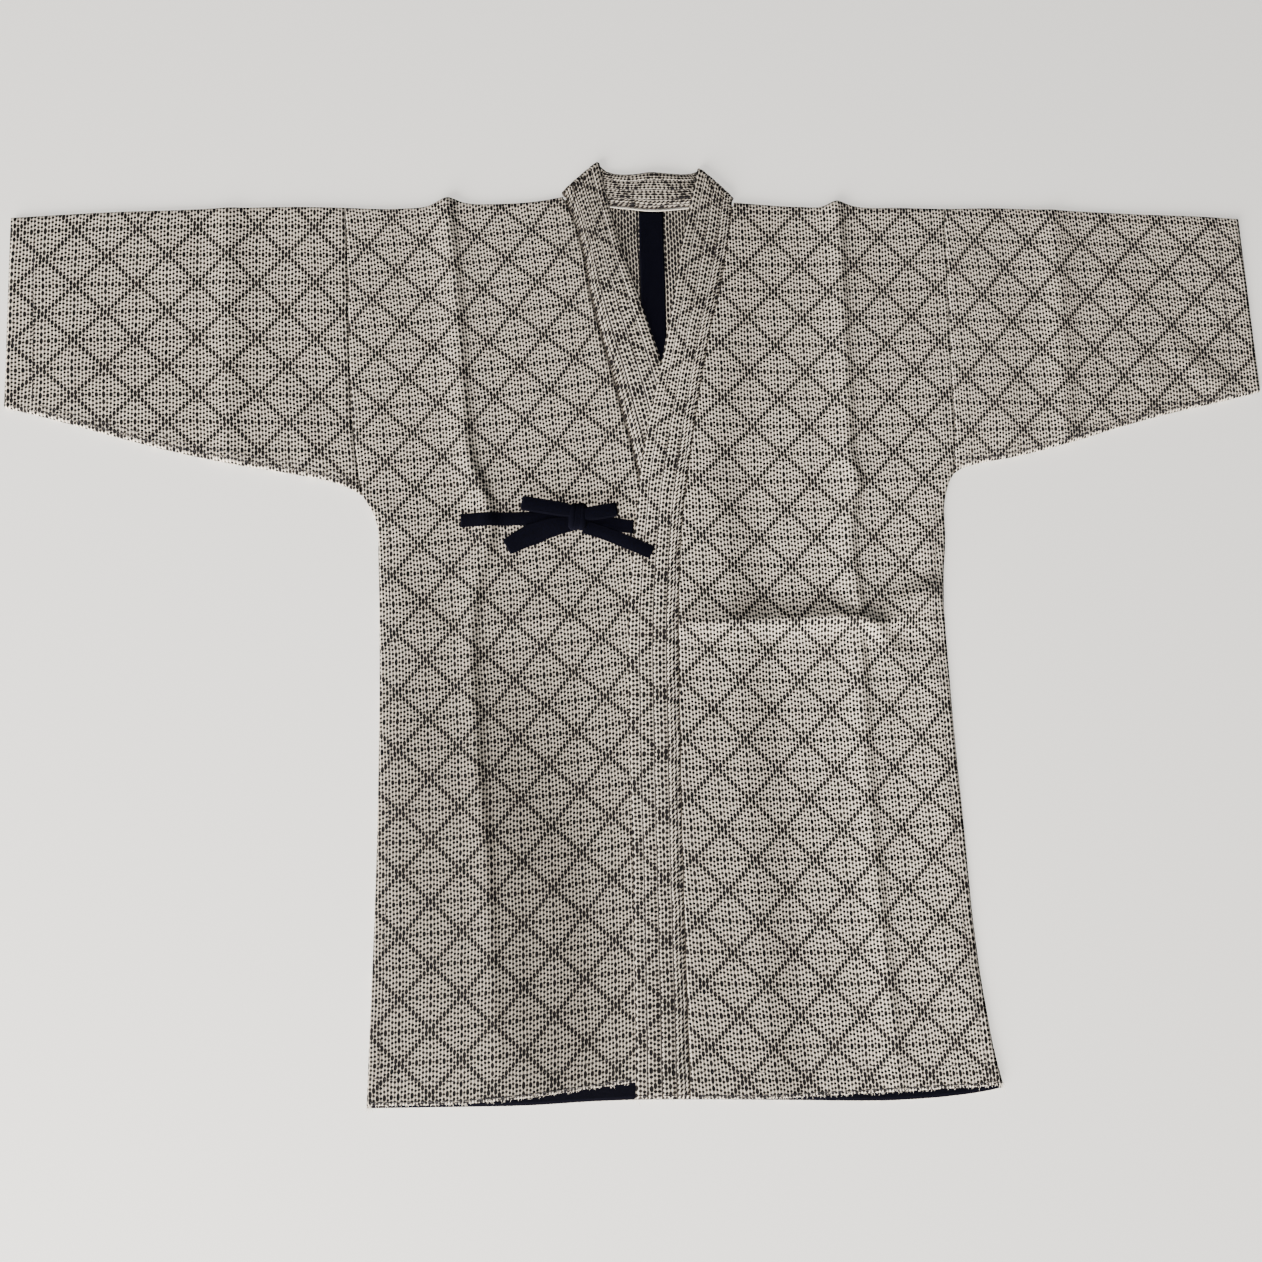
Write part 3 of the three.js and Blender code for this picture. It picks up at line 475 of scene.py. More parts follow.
def bend(side, x, level):
    """How far a line across a front is moved to follow the shoulder, the waist crease or the hem."""
    hem = front_hem(side)
    shoulder = shoulder_y(x) - shoulder_y(body_edge_x(side, 0))
    waist = curve(WAIST_CREASE["x"], WAIST_CREASE["y"], x) - WAIST_LEVEL
    foot = hem_y(side, x) - hem
    total = near(level, SHOULDER_BEND) * shoulder + near(level - WAIST_LEVEL, LINE_BEND) * waist
    return total + near(level - hem, LINE_BEND) * foot


def seam_point(side, level):
    """Where a line across a front meets the collar's seam."""
    y = level
    for _ in range(6):
        y = level + bend(side, collar_x("seam", side, y), level)
    return collar_x("seam", side, y), y


def body(side):
    """One body half, laid in lines from its side edge inward: up the back, over, and down the front."""
    sign, edge_top = SIGN[side], body_edge_x(side, 0)
    centre = sign * CENTRE_SEAM_X
    rows, marks = [], []

    def add(x, y, z, cloth_y):
        rows.append(np.stack([x, y, z + 0 * x], -1))
        marks.append(threads(f"body_{side}", x, cloth_y))

    def fold_radius(x):
        return half_gap(side, x, shoulder_y(x))

    def fold_start(x):
        return shoulder_y(x) - 1 - fold_radius(x)

    def over_fold(x, y):
        return 2 * fold_start(x) + math.pi * fold_radius(x) - y

    hem = hem_y("back", side_seam_x(side, -850))
    back = [np.linspace(hem, BACK_FINER, 70, endpoint=False), np.linspace(BACK_FINER, BACK_LEVEL, 44)]
    for level in np.concatenate(back):
        x = mix(body_edge_x(side, level), centre, ACROSS)
        y = level + near(level - hem, LINE_BEND) * (hem_y("back", x) - hem)
        add(x, y, BACK_MID, over_fold(x, y))
    for share in np.linspace(0, 1, 26)[1:]:
        inner = mix(centre, NECK[side], share)
        outer_y = mix(BACK_LEVEL, fold_start(edge_top), share)
        x = mix(body_edge_x(side, outer_y), inner, ACROSS)
        y = mix(outer_y, np.minimum(back_neck_y(inner), fold_start(NECK[side]) + 9 * (1 - share)), ACROSS)
        y = mix(y, fold_start(x), ease(share, 0.7, 1))
        add(x, y, BACK_MID, over_fold(x, y))
    for turn in FOLD_TURNS[1:]:
        x = mix(edge_top, NECK[side], ACROSS)
        radius = fold_radius(x)
        y = fold_start(x) + radius * np.cos(turn)
        add(x, y, BACK_MID + radius + radius * np.sin(turn), fold_start(x) + radius * (math.pi / 2 - turn))
    levels = np.concatenate([
        np.arange(fold_start(edge_top) - 3, WAIST_ROWS[0] + 1, -ROW),
        np.arange(*WAIST_ROWS, -WAIST_ROW),
        np.arange(WAIST_ROWS[1] - WAIST_ROW, front_hem(side), -ROW),
        [front_hem(side)],
    ])
    for level in levels:
        inner = seam_point(side, level)[0] + sign * COLLAR_GAP
        x = mix(body_edge_x(side, level), inner, ACROSS)
        y = level + bend(side, x, level)
        add(x, y, front_mid(side, x, y), y)
    return lay_cloth(f"jacket_body_{side}", np.array(rows), np.array(marks), CLOTH)


bodies = {side: body(side) for side in SIGN}
for made in bodies.values():
    print(made.name, "has", len(made.data.polygons), "faces")

# %% [markdown]
# ## The sleeves
#
# A sleeve is one width of cloth folded along its top and sewn along its foot, so it is a flat tube. The
# grid starts at the seam, goes up the upper layer, round the top fold and down the lower layer, and closes
# there.

# %% Two sleeves
ARMHOLE_GAP = 0.3


def sleeve(side):
    """One sleeve, laid in rings from the armhole to the cuff."""
    sign = SIGN[side]
    rows, marks = [], []
    quarter = np.radians(np.linspace(0, 90, 5))
    down = np.linspace(0, 1, 74)
    for along in np.linspace(0, 1, 88):

        def place(y):
            return mix(armhole_x(side, y) + sign * ARMHOLE_GAP, CUFF[side], along)

        top = curve(SLEEVE["out"], SLEEVE[f"top_{side}"], abs(place(0.0)))
        foot = foot_y(side, abs(place(float(PIT[side]))))
        top_round, foot_round = half_gap(side, place(top), top), half_gap(side, place(foot), foot)
        top_in, foot_in = top - 1 - top_round, foot + 1 + foot_round
        upper = mix(foot_in, top_in, down)
        fold = np.radians(np.linspace(90, -90, 9))
        y = np.concatenate([
            foot_in - foot_round * np.cos(quarter), upper[1:-1], top_in + top_round * np.cos(fold),
            upper[::-1][1:-1], foot_in - foot_round * np.cos(quarter[::-1]),
        ])
        z = np.concatenate([
            BACK_MID + foot_round + foot_round * np.sin(quarter),
            front_mid(side, place(upper), upper)[1:-1],
            BACK_MID + top_round + top_round * np.sin(fold),
            np.full(len(upper) - 2, BACK_MID),
            BACK_MID + foot_round - foot_round * np.sin(quarter[::-1]),
        ])
        turned = top_in + math.pi * top_round
        cloth_y = np.concatenate([
            foot_in - foot_round * (math.pi / 2 - quarter),
            upper[1:-1],
            top_in + top_round * (math.pi / 2 - fold),
            (turned + top_in - upper[::-1])[1:-1],
            turned + top_in - foot_in + foot_round * (math.pi / 2 - quarter[::-1]),
        ])
        x = place(y)
        rows.append(np.stack([x, y, z], -1))
        marks.append(threads(f"sleeve_{side}", x, cloth_y))
    return lay_cloth(f"jacket_sleeve_{side}", np.array(rows), np.array(marks), CLOTH, tube=True)


sleeves = {side: sleeve(side) for side in SIGN}
for made in sleeves.values():
    print(made.name, "has", len(made.data.polygons), "faces")

# %% [markdown]
# ## The collar band
#
# The band is several layers of the same cloth, stitched through in long rows. Each row pulls the layers
# down, so the band has low swells between fine grooves. It runs up the right front, turns over at each
# shoulder, and is half rolled behind the neck. Its threads run along its length, and the strip next to the
# seam is pulled askew, so its marks lean.

# %% One collar band
COLLAR_ROWS = [0.08, 0.25, 0.52, 0.78]
COLLAR_EDGE_REST = 8.1
COLLAR_SLANT = 0.8
COLLAR_FIRST_COLUMN = 3.5


def collar_profile(share):
    """Height across the band: crowned, rounded at both long edges, with a groove at each row of stitches."""
    grooves = sum(np.exp(-(((share - row) * COLLAR_WIDTH) / 1.2) ** 2) for row in COLLAR_ROWS)
    seam_side, free_side = share * COLLAR_WIDTH, (1 - share) * COLLAR_WIDTH
    rounded = 0.9 * np.exp(-(seam_side / 2.2) ** 2) + 0.9 * np.exp(-(free_side / 2.0) ** 2)
    return 0.6 * np.sin(math.pi * share) - 0.5 * grooves - rounded


def collar_front(side):
    """Lines across the band down one front: each has its seam place, its edge place and its crown's way."""
    levels = np.append(np.arange(-14, front_hem(side) + 3, -5.0), front_hem(side))
    lines = []
    for level in levels:
        x, y = seam_point(side, level)
        rise = float(curve(COLLAR_RISE["y"], COLLAR_RISE["rise"], y))
        edge_x = collar_x("edge", side, y + rise)
        edge_y = hem_y(side, edge_x) if level == levels[-1] else y + rise
        mid = collar_x("mid", side, y)
        resting = mix(mid, min(mid, COLLAR_EDGE_REST), ease(-y, 100, 200))
        lines.append(((x, y, mid), (edge_x, edge_y, resting), (0, 0, 1)))
    return lines


def collar_turn(side):
    """Lines across the band where it turns over at a shoulder, from the front to behind."""
    seam = np.array([*COLLAR_TURN[side]["seam"], 0.0])
    edge = np.array([*COLLAR_TURN[side]["edge"], 0.0])
    across = (edge - seam) / np.linalg.norm(edge - seam)
    outward = np.cross(across, [0, 0, 1]) * SIGN[side]
    radius = (collar_x("mid", side, 45.0) - COLLAR_BACK_MID) / 2
    lines = []
    for angle in np.radians(np.linspace(90, -90, 11)):
        move = outward * (radius * math.cos(angle) - radius + 2)
        height = np.array([0, 0, COLLAR_BACK_MID + radius + radius * math.sin(angle)])
        facing_out = outward * math.cos(angle) + np.array([0, 0, math.sin(angle)])
        lines.append((seam + move + height, edge + move + height, facing_out * ease(angle, -0.6, 0.6)))
    return lines


def collar_behind():
    """Lines across the band behind the neck, where it is half rolled."""
    behind = np.linspace(0, 6, 37)
    column = {name: curve(np.arange(7), COLLAR_BACK[name], behind) for name in COLLAR_BACK}
    lines = []
    for k, seam_x in enumerate(column["seam_x"]):
        lines.append(((seam_x, back_neck_y(seam_x) + 0.6, column["seam_mid"][k]),
                      (column["edge_x"][k], column["edge_y"][k], column["edge_mid"][k]),
                      (0, 0, ease(min(k, len(behind) - 1 - k), 0, 4))))
    return lines


def collar():
    share = np.linspace(0, 1, 62)[:, None]
    lines = [*collar_front("right")[::-1], *collar_turn("right"), *collar_behind(),
             *collar_turn("left")[::-1], *collar_front("left")]
    places = np.array([
        mix(np.array(seam, float), np.array(edge, float), share) + np.array(crown) * collar_profile(share)
        for seam, edge, crown in lines])
    run = length_along(places[:, len(share) // 2])
    slant = COLLAR_SLANT * np.clip(COLLAR_ROWS[1] - share.T, 0, 1) * COLLAR_WIDTH
    columns = share.T * COLLAR_WIDTH / COLUMN + COLLAR_FIRST_COLUMN
    counts = np.stack(np.broadcast_arrays(columns, (run[:, None] + slant) / STEP), -1)
    return lay_cloth("jacket_collar", places, counts, COLLAR_THICK), places, run


band, COLLAR_PLACES, COLLAR_RUN = collar()
print("collar band is", round(COLLAR_RUN[-1]), "mm long")

# %% [markdown]
# ## Tape and facing
#
# A woven navy tape covers the centre back seam inside the neck. A navy facing is sewn along the inside of
# the back hem, and it peeps out below the shorter fronts. Both are thin and lie close on the back.

# %% Navy tape and hem facing
TAPE_WIDTH = 24.4
TAPE_FOOT = -185
LINING_MID = 2.25
LINING = 0.8
FACING_DEPTH = 26
FACING_INSET = 2.5


def tape():
    down = np.linspace(0, 1, 48)[:, None]
    across = np.linspace(-0.5, 0.5, 13)[None, :]
    y = mix(back_neck_y(0) - 1.2, TAPE_FOOT, down) + 0 * across
    x = mix(-0.6, -4.4, down) + across * TAPE_WIDTH + 0.25 * np.sin(y / 19)
    z = LINING_MID + 0.1 + 0.12 * np.sin(y / 26) * np.cos(across * 6) + 0 * x
    return lay_cloth("jacket_centre_back_tape", np.stack([x, y, z], -1), np.stack([x, y], -1), LINING)


def facing():
    along = np.linspace(0, 1, 180)[:, None]
    up = FACING_DEPTH * np.linspace(0, 1, 10)[None, :]
    ends = [side_seam_x("right", -838 + up) + FACING_INSET, side_seam_x("left", -853 + up) - FACING_INSET]
    x = mix(*ends, along)
    y = hem_y("back", x) + 0.4 + up
    z = LINING_MID + 0.05 * np.sin(x / 17) + 0 * x
    return lay_cloth("jacket_back_hem_facing", np.stack([x, y, z], -1), np.stack([x, y], -1), LINING)


centre_tape, hem_facing = tape(), facing()
print("tape and facing laid")

# %% [markdown]
# ## The ties and the bow
#
# Each tie is a narrow tube of navy cotton, turned and pressed flat, so it has rounded long edges and a
# little body. One strap comes from each side, and they are tied in a bow: two loops, two hanging ends and
# the knot that holds them. The hanging end on the right has its tube opened a little wider. A flat ring is
# drawn along each tie's path. A curve object with a bevel would twist at the turns of the loops, so the
# ring keeps its own sideways direction instead.

# %% Ties
TIE_WIDTH = 13
TIE_THICK = 1.6
TIE_STEP_UP = 1.78
TIE_LIFT = 0.15
KNOT = {"left": -93.2, "right": -76.0, "top": -301.6, "foot": -327.2, "low": 5.6, "high": 15.6}
TIES = {
    "strap_right": {"x": [-193.7, -150, -90.7], "y": [-315.0, -314.2, -314.0], "layer": [0, 0, 0], "roll": 0},
    "strap_left": {"x": [-78.4, -52, -32.4], "y": [-318.6, -321.6, -325.2],
                   "layer": [0, 0.4, 1.6], "roll": 0},
    "tail_right": {"x": [-151.9, -128, -108, -89.9], "y": [-341.2, -329.8, -323.4, -320.4],
                   "layer": [0, 0.9, 1.2, 1.2], "roll": 0.06, "wide": [1.2, 1.6, 1.4, 1.1]},
    "tail_left": {"x": [-79.0, -58, -40, -16.2], "y": [-323.6, -331.4, -340.0, -351.2],
                  "layer": [1.5, 1.8, 3.9, 4.2], "roll": 0.05},
}
LOOPS = {
    "loop_right": {"start": (-89.5, -309.2), "end": (-137, -300.3), "low": 2.3, "high": 4.3},
    "loop_left": {"start": (-79.5, -313.2), "end": (-47.2, -308.6), "low": 2.7, "high": 4.7},
}


def tie_mid(x, y, layer):
    """Middle height of a tie on the right front, some layers of tie above it."""
    under = np.max([front_mid("right", x, y + off) for off in (-TIE_WIDTH / 2, 0, TIE_WIDTH / 2)], axis=0)
    return under + CLOTH / 2 + TIE_LIFT + TIE_THICK / 2 + layer * TIE_STEP_UP


def close_ends(obj):
    """Fills the open ends of a tube."""
    bm = bmesh.new()
    bm.from_mesh(obj.data)
    bmesh.ops.holes_fill(bm, edges=[edge for edge in bm.edges if edge.is_boundary], sides=0)
    bmesh.ops.recalc_face_normals(bm, faces=bm.faces)
    bm.to_mesh(obj.data)
    bm.free()


def lay_tie(name, path, sideways, pinch=None):
    """A flattened tube of tie along a path, with its width along the sideways direction."""
    path = np.asarray(path, float)
    forward = np.gradient(path, axis=0)
    forward /= np.linalg.norm(forward, axis=1)[:, None]
    sideways = np.broadcast_to(sideways, path.shape)
    upward = np.cross(sideways, forward)
    upward /= np.linalg.norm(upward, axis=1)[:, None]
    upward *= np.sign(upward[0, 2])
    turn = np.linspace(0, 2 * math.pi, 29)
    flat = boxy(np.cos(turn), 0.42) * TIE_WIDTH / 2
    thick = boxy(np.sin(turn), 0.7) * TIE_THICK / 2
    seam = 1 - 0.25 * np.exp(-((np.abs(flat) - TIE_WIDTH / 2 + 1.6) / 0.5) ** 2)
    narrow = np.ones(len(path)) if pinch is None else np.asarray(pinch)
    places = (path[:, None] + sideways[:, None] * (flat[None, :] * narrow[:, None])[..., None]
              + upward[:, None] * (thick * seam)[None, :, None])
    around = turn / (2 * math.pi) * 2 * TIE_WIDTH
    counts = np.stack(np.broadcast_arrays(around[None, :], length_along(path)[:, None]), -1)
    obj = lay_cloth(f"jacket_{name}", places, counts, None, tube=True)
    close_ends(obj)
    return obj


def strap(name):
    """A strap or a hanging end, laid on what is below it."""
    table = TIES[name]
    steps = int(abs(table["x"][-1] - table["x"][0]) / 1.6)
    x = np.linspace(table["x"][0], table["x"][-1], steps)
    y = curve(table["x"], table["y"], x)
    z = tie_mid(x, y, np.interp(x, table["x"], table["layer"]))
    z = np.convolve(np.pad(z, 4, mode="edge"), np.ones(9) / 9, mode="valid")
    path = np.stack([x, y, z + 0.12 * np.sin(x / 6)], -1)
    forward = np.gradient(path, axis=0)
    sideways = np.cross([0, 0, 1], forward)
    sideways[:, 2] += table["roll"] * np.sin(np.linspace(0, 3.2, steps)) * np.linalg.norm(sideways, axis=1)
    sideways /= np.linalg.norm(sideways, axis=1)[:, None]
    return lay_tie(name, path, sideways, np.interp(x, table["x"], table.get("wide", [1] * len(table["x"]))))


def loop(name):
    """A loop of the bow: out from the knot, round, and back on top of itself."""
    table = LOOPS[name]
    start, end = np.array(table["start"]), np.array(table["end"])
    length = np.linalg.norm(end - start)
    out = np.array([*(end - start) / length, 0])
    low, high = (float(tie_mid(*start, table[key])) for key in ("low", "high"))
    radius = (high - low) / 2
    reach = length - radius - TIE_THICK / 2
    ahead = np.linspace(0, reach, 26)
    swell = 0.5 * np.sin(math.pi * ahead / reach)
    turn = np.radians(np.linspace(-90, 90, 13))[1:-1]
    along = np.concatenate([ahead, reach + radius * np.cos(turn), ahead[::-1]])
    height = np.concatenate([low - 0 * swell, low + radius + radius * np.sin(turn), high + swell[::-1]])
    path = np.array([*start, 0]) + out * along[:, None] + np.array([0, 0, 1]) * height[:, None]
    near_knot = 1 - 0.18 * np.exp(-(along / 7) ** 2)
    return lay_tie(name, path, np.cross(out, [0, 0, 1]), near_knot)


def knot():
    """The knot: one end wrapped round the others, with two soft pleats across it."""
    along = np.linspace(0, 1, 34)[:, None]
    turn = np.linspace(0, 2 * math.pi, 57)[None, :]
    swell = curve([0, 0.12, 0.5, 0.88, 1], [0.74, 0.95, 1.0, 0.95, 0.74], along)
    lean = 0.09 * np.cos(turn)
    pleats = np.exp(-((along - 0.34 - lean) / 0.045) ** 2)
    pleats = pleats + 0.8 * np.exp(-((along - 0.66 - lean) / 0.04) ** 2)
    size = swell - 0.055 * pleats * (0.6 + 0.4 * np.sin(turn))
    tall = (KNOT["top"] - KNOT["foot"]) / 2
    thick = (KNOT["high"] - KNOT["low"]) / 2
    y = (KNOT["top"] + KNOT["foot"]) / 2 + boxy(np.cos(turn), 0.7) * tall * size
    z = (KNOT["low"] + KNOT["high"]) / 2 + boxy(np.sin(turn), 0.7) * thick * size
    x = mix(KNOT["left"], KNOT["right"], along) + 0.8 * np.cos(turn)
    counts = np.stack(np.broadcast_arrays(along * 17, turn * 12), -1)
    obj = lay_cloth("jacket_bow_knot", np.stack([x, y, z], -1), counts, None, tube=True)
    close_ends(obj)
    return obj


ties = {name: strap(name) for name in TIES} | {name: loop(name) for name in LOOPS}
bow_knot = knot()
print("ties laid:", ", ".join(ties))

# %% [markdown]
# ## Sewing
#
# The seams, hems and the rows along the collar are sewn with dark thread in long straight stitches. Each
# stitch is a small rounded thread that dips in at both ends. The same small body is set down again and
# again along a seam line. A dashed line in the material would be quicker, but it would have no edge to
# catch the light. Close to the front hems and the sleeve feet, short slanting stitches go over the edge.

# %% Stitches
STITCH = 3.6
STITCH_GAP = 0.9
THREAD = 0.38
THREAD_LIFT = 0.08
COLLAR_THREAD_LIFT = 0.05


def stitch_body():
    bm = bmesh.new()
    bmesh.ops.create_uvsphere(bm, u_segments=6, v_segments=5, radius=1)
    return as_mesh("one stitch", bm)


ONE_STITCH = stitch_body()


def sew(name, lines, length=STITCH, gap=STITCH_GAP, thick=THREAD):
    """One mesh with a row of stitches along each line of places (mm); with no length it is one stitch."""
    bm = bmesh.new()
    for line in lines:
        line = np.asarray(line, float)
        run = length_along(line)
        pitch = length + gap if length else run[-1]
        for k in range(max(1, int(run[-1] / pitch))):
            ends = [k * pitch, k * pitch + (length or run[-1])]
            a, b = (Vector([np.interp(end, run, line[:, axis]) for axis in range(3)]) for end in ends)
            turn = (b - a).to_track_quat("X", "Z").to_matrix().to_4x4()
            size = Matrix.Diagonal(((b - a).length / 2000, thick * 1.25 / 1000, thick / 1000, 1))
            place = Matrix.Translation(Vector(metres((a + b) / 2))) @ turn @ size
            ONE_STITCH.transform(place)
            bm.from_mesh(ONE_STITCH)
            ONE_STITCH.transform(place.inverted())
    for face in bm.faces:
        face.smooth = True
    return set_out(name, as_mesh(name, bm))


def on_front(side, points, steps=60):
    """A smooth line through points on the upper layer, lying on the cloth's face."""
    points = np.array(points, float)
    mark = np.linspace(0, len(points) - 1, steps)
    x, y = (curve(np.arange(len(points)), points[:, axis], mark) for axis in (0, 1))
    return np.stack([x, y, front_mid(side, x, y) + CLOTH / 2 + THREAD_LIFT], -1)


HEM_LINE = {
    "right": [(-284, -809), (-223, -815), (-180, -813.3), (-130, -812), (-92, -807.4), (-52, -803)],
    "left": [(2, -819.3), (94, -824.7), (153, -823.8), (221, -827.6), (279, -828.3)],
}
EDGE_LINE = {"right": (-283, -8), "left": (4, 279)}
EDGE_LINE_UP = 2.8
CUFF_LINE = {"right": -587.5, "left": 582.0}
SIDE_LINE_FOOT = {"right": -828, "left": -848}
SLEEVE_LINE_END = {"right": 584, "left": 580}
SEAM_TURNED_IN = 9.5
SECOND_FOOT_LINE = 4.6
# Stitches over an edge: how far apart they stand, and how far above it they start and end.
OVER_HEM = (2.3, 0.4, 2.2)
OVER_FOOT = (2.1, 2.3, 4.3)


def side_line(side):
    y = np.linspace(PIT[side] - 12, SIDE_LINE_FOOT[side], 40)
    return on_front(side, list(zip(side_seam_x(side, y) - SIGN[side] * SEAM_TURNED_IN, y)), 120)


def sleeve_foot_line(side, up):
    out = np.linspace(296, SLEEVE_LINE_END[side], 30)
    return on_front(side, list(zip(SIGN[side] * out, foot_y(side, out) + up)), 90)


def cuff_line(side):
    last = foot_y(side, abs(CUFF_LINE[side])) + 3
    return on_front(side, [(CUFF_LINE[side] + SIGN[side] * 0.02 * y, y) for y in np.linspace(-14, last, 12)])


def collar_line(share, start=0, stop=None):
    """Places on the band's face along one of its rows, some way across it."""
    last = COLLAR_PLACES.shape[1] - 1
    low = int(share * last)
    line = mix(COLLAR_PLACES[:, low], COLLAR_PLACES[:, min(low + 1, last)], share * last - low)
    forward, across = np.gradient(line, axis=0), COLLAR_PLACES[:, -1] - COLLAR_PLACES[:, 0]
    normal = np.cross(across, forward)
    normal /= np.linalg.norm(normal, axis=1)[:, None]
    normal *= np.sign(normal[:, 2:3] + 1e-9)
    return (line + normal * (COLLAR_THICK / 2 + COLLAR_THREAD_LIFT))[start:stop]


def edge_line(side):
    x = np.linspace(*EDGE_LINE[side], 14)
    return on_front(side, list(zip(x, hem_y(side, x) + EDGE_LINE_UP)), 120)


def overcast(side, x, y, low, high):
    """Short slanting stitches over an edge: each from low to high above a place of the edge."""
    return [on_front(side, [(px, py + low), (px + 0.6, py + high)], 2) for px, py in zip(x, y)]


body_sewing, sleeve_sewing = {}, {}
for side in SIGN:
    body_sewing[side] = sew(f"stitches_body_{side}", [side_line(side), on_front(side, HEM_LINE[side])])
for side in SIGN:
    sleeve_lines = [sleeve_foot_line(side, up) for up in (SEAM_TURNED_IN, SECOND_FOOT_LINE)]
    sleeve_lines.append(cuff_line(side))
    sleeve_sewing[side] = sew(f"stitches_sleeve_{side}", sleeve_lines, thick=0.52)

# The rows along the band stop short of both shoulders, where it turns over.
turns = [k for k in range(1, len(COLLAR_RUN)) if COLLAR_PLACES[k, 0, 2] < 6.2 and COLLAR_PLACES[k, 0, 1] > -2]
ROW_PARTS = [(0, turns[0] - 2), (turns[0] + 9, turns[-1] - 8), (turns[-1] + 2, None)]
collar_sewing = sew("stitches_collar", [collar_line(row, *part) for row in COLLAR_ROWS for part in ROW_PARTS])
collar_foot = mix(COLLAR_PLACES[-1], COLLAR_PLACES[-2], 0.5) + [0, 0, COLLAR_THICK / 2 + COLLAR_THREAD_LIFT]
edge_lines = [edge_line("right"), edge_line("left"), collar_foot]
edge_sewing = sew("stitches_hem_edge", edge_lines, length=6.0, gap=0.2, thick=0.6)

over_hems, over_feet = [], []
for side, sign in SIGN.items():
    x = np.arange(*EDGE_LINE[side], OVER_HEM[0])
    over_hems += overcast(side, x, hem_y(side, x), *OVER_HEM[1:])
    out = np.arange(292, 603, OVER_FOOT[0])
    over_feet += overcast(side, sign * out, foot_y(side, out), *OVER_FOOT[1:])
over_sewing = sew("stitches_over_edges", over_hems + over_feet, thick=0.42, length=None)
print("collar stitches:", len(collar_sewing.data.polygons), "faces")
print("stitches over the edges:", len(over_hems + over_feet))

# %% [markdown]
# ## The edge at the back neck
#
# Where the collar meets the back, a narrow white roll shows below the band: the fold of the seam allowance.
# It is a plain round cord along the neck line.

# %% Neck roll
def cord(name, line, thick):
    """A thin round cord along places (mm)."""
    path = bpy.data.curves.new(name, "CURVE")
    path.dimensions = "3D"
    path.bevel_depth = thick / 1000
    path.bevel_resolution = 2
    path.use_fill_caps = True
    spline = path.splines.new("POLY")
    spline.points.add(len(line) - 1)
    for point, place in zip(spline.points, metres(line)):
        point.co = (*place, 1)
    drawn = set_out(name + " line", path)
    mesh = bpy.data.meshes.new_from_object(drawn.evaluated_get(bpy.context.evaluated_depsgraph_get()))
    bpy.data.objects.remove(drawn)
    obj = set_out(name, mesh)
    settle(obj)
    return obj


neck_x = np.linspace(-46, 42, 60)
neck_roll = cord("neck_roll", np.stack([neck_x, back_neck_y(neck_x) - 1.5, 2.9 + 0 * neck_x], -1), 0.5)
print("neck roll:", len(neck_roll.data.polygons), "faces")

# %% [markdown]
# ## Frayed threads
#
# Washing teases short white threads out of the cut edges, most of all along the front hems, at the sleeve
# feet and at the corners. They are the stitch body again, drawn long and thin and set at chance angles,
# with a fixed seed so that the same threads come out each time.

# %% Loose threads at the hems
chance = np.random.default_rng(7)


def fray(name, edges):
    """Short loose threads along edges: (places, how many, length, outward direction)."""
    lines = []
    for places, count, length, outward in edges:
        for _ in range(count):
            start = places[chance.integers(len(places))] + chance.normal(0, 0.5, 3) * (1, 1, 0.4)
            heading = np.array(outward, float) + chance.normal(0, 0.55, 3) * (1, 1, 0.2)
            reach = length * (0.4 + chance.random())
            lines.append([start, start + heading / np.linalg.norm(heading) * reach])
    return sew(name, lines, thick=0.14, length=None)


def hem_places(side, low, high):
    x = np.linspace(low, high, 300)
    return np.stack([x, hem_y(side, x) + 0.6, front_mid(side, x, hem_y(side, x))], -1)


def foot_places(side):
    out = np.linspace(290, 604, 300)
    return np.stack([SIGN[side] * out, foot_y(side, out) + 0.5, 2.6 + 0 * out], -1)


DOWN = (0, -1, -0.12)
frayed = fray("frayed_threads", [
    (hem_places("right", -285, -6), 170, 2.2, DOWN),
    (hem_places("left", 4, 281), 200, 2.2, DOWN),
    (foot_places("right"), 150, 2.0, DOWN),
    (foot_places("left"), 150, 2.0, DOWN),
    (COLLAR_PLACES[-1], 34, 2.0, DOWN),
    (hem_places("right", -285, -281), 7, 8, (-0.5, -1, 0)),
    (hem_places("left", 277, 281), 9, 9, (0.6, -1, 0)),
    (COLLAR_PLACES[-1, -3:], 5, 6, DOWN),
])
print("frayed threads:", len(frayed.data.polygons), "faces")

# %% [markdown]
# ## Materials
#
# Colours are read as sRGB and turned into light. Each material is named for what it is on the real jacket.

# %% Colour and node helpers
def light_of(colour):
    """An sRGB hex colour as linear light."""
    parts = [int(colour[k:k + 2], 16) / 255 for k in (0, 2, 4)]
    return [*(part / 12.92 if part <= 0.04045 else ((part + 0.055) / 1.055) ** 2.4 for part in parts), 1.0]


def plug(made, table):
    """Sets or links a node's inputs; a node that is given links by the first of its outputs in use."""
    for key, value in table.items():
        socket = key if isinstance(key, bpy.types.NodeSocket) else made.inputs[key]
        if isinstance(value, bpy.types.Node):
            value = next(output for output in value.outputs if output.enabled)
        if isinstance(value, bpy.types.NodeSocket):
            made.id_data.links.new(value, socket)
        else:
            socket.default_value = value
    return made


def add(tree, kind, *values, **settings):
    """A node, such as TexNoise or Math ADD, with its settings, and its inputs in order or in a table."""
    kind, _, operation = kind.partition(" ")
    made = tree.nodes.new("ShaderNode" + kind)
    if operation:
        made.operation = operation
    for name, value in settings.items():
        setattr(made, name, value)
    if values and isinstance(values[0], dict):
        return plug(made, values[0])
    in_use = [socket for socket in made.inputs if socket.enabled]
    return plug(made, dict(zip(in_use, values)))


def new_material(name):
    """A material, the function that adds a node to it, and its shader."""
    material = bpy.data.materials.new(name)
    material.use_nodes = True
    return material, partial(add, material.node_tree), material.node_tree.nodes["Principled BSDF"]


print("mid grey in linear light is", round(light_of("808080")[0], 3))
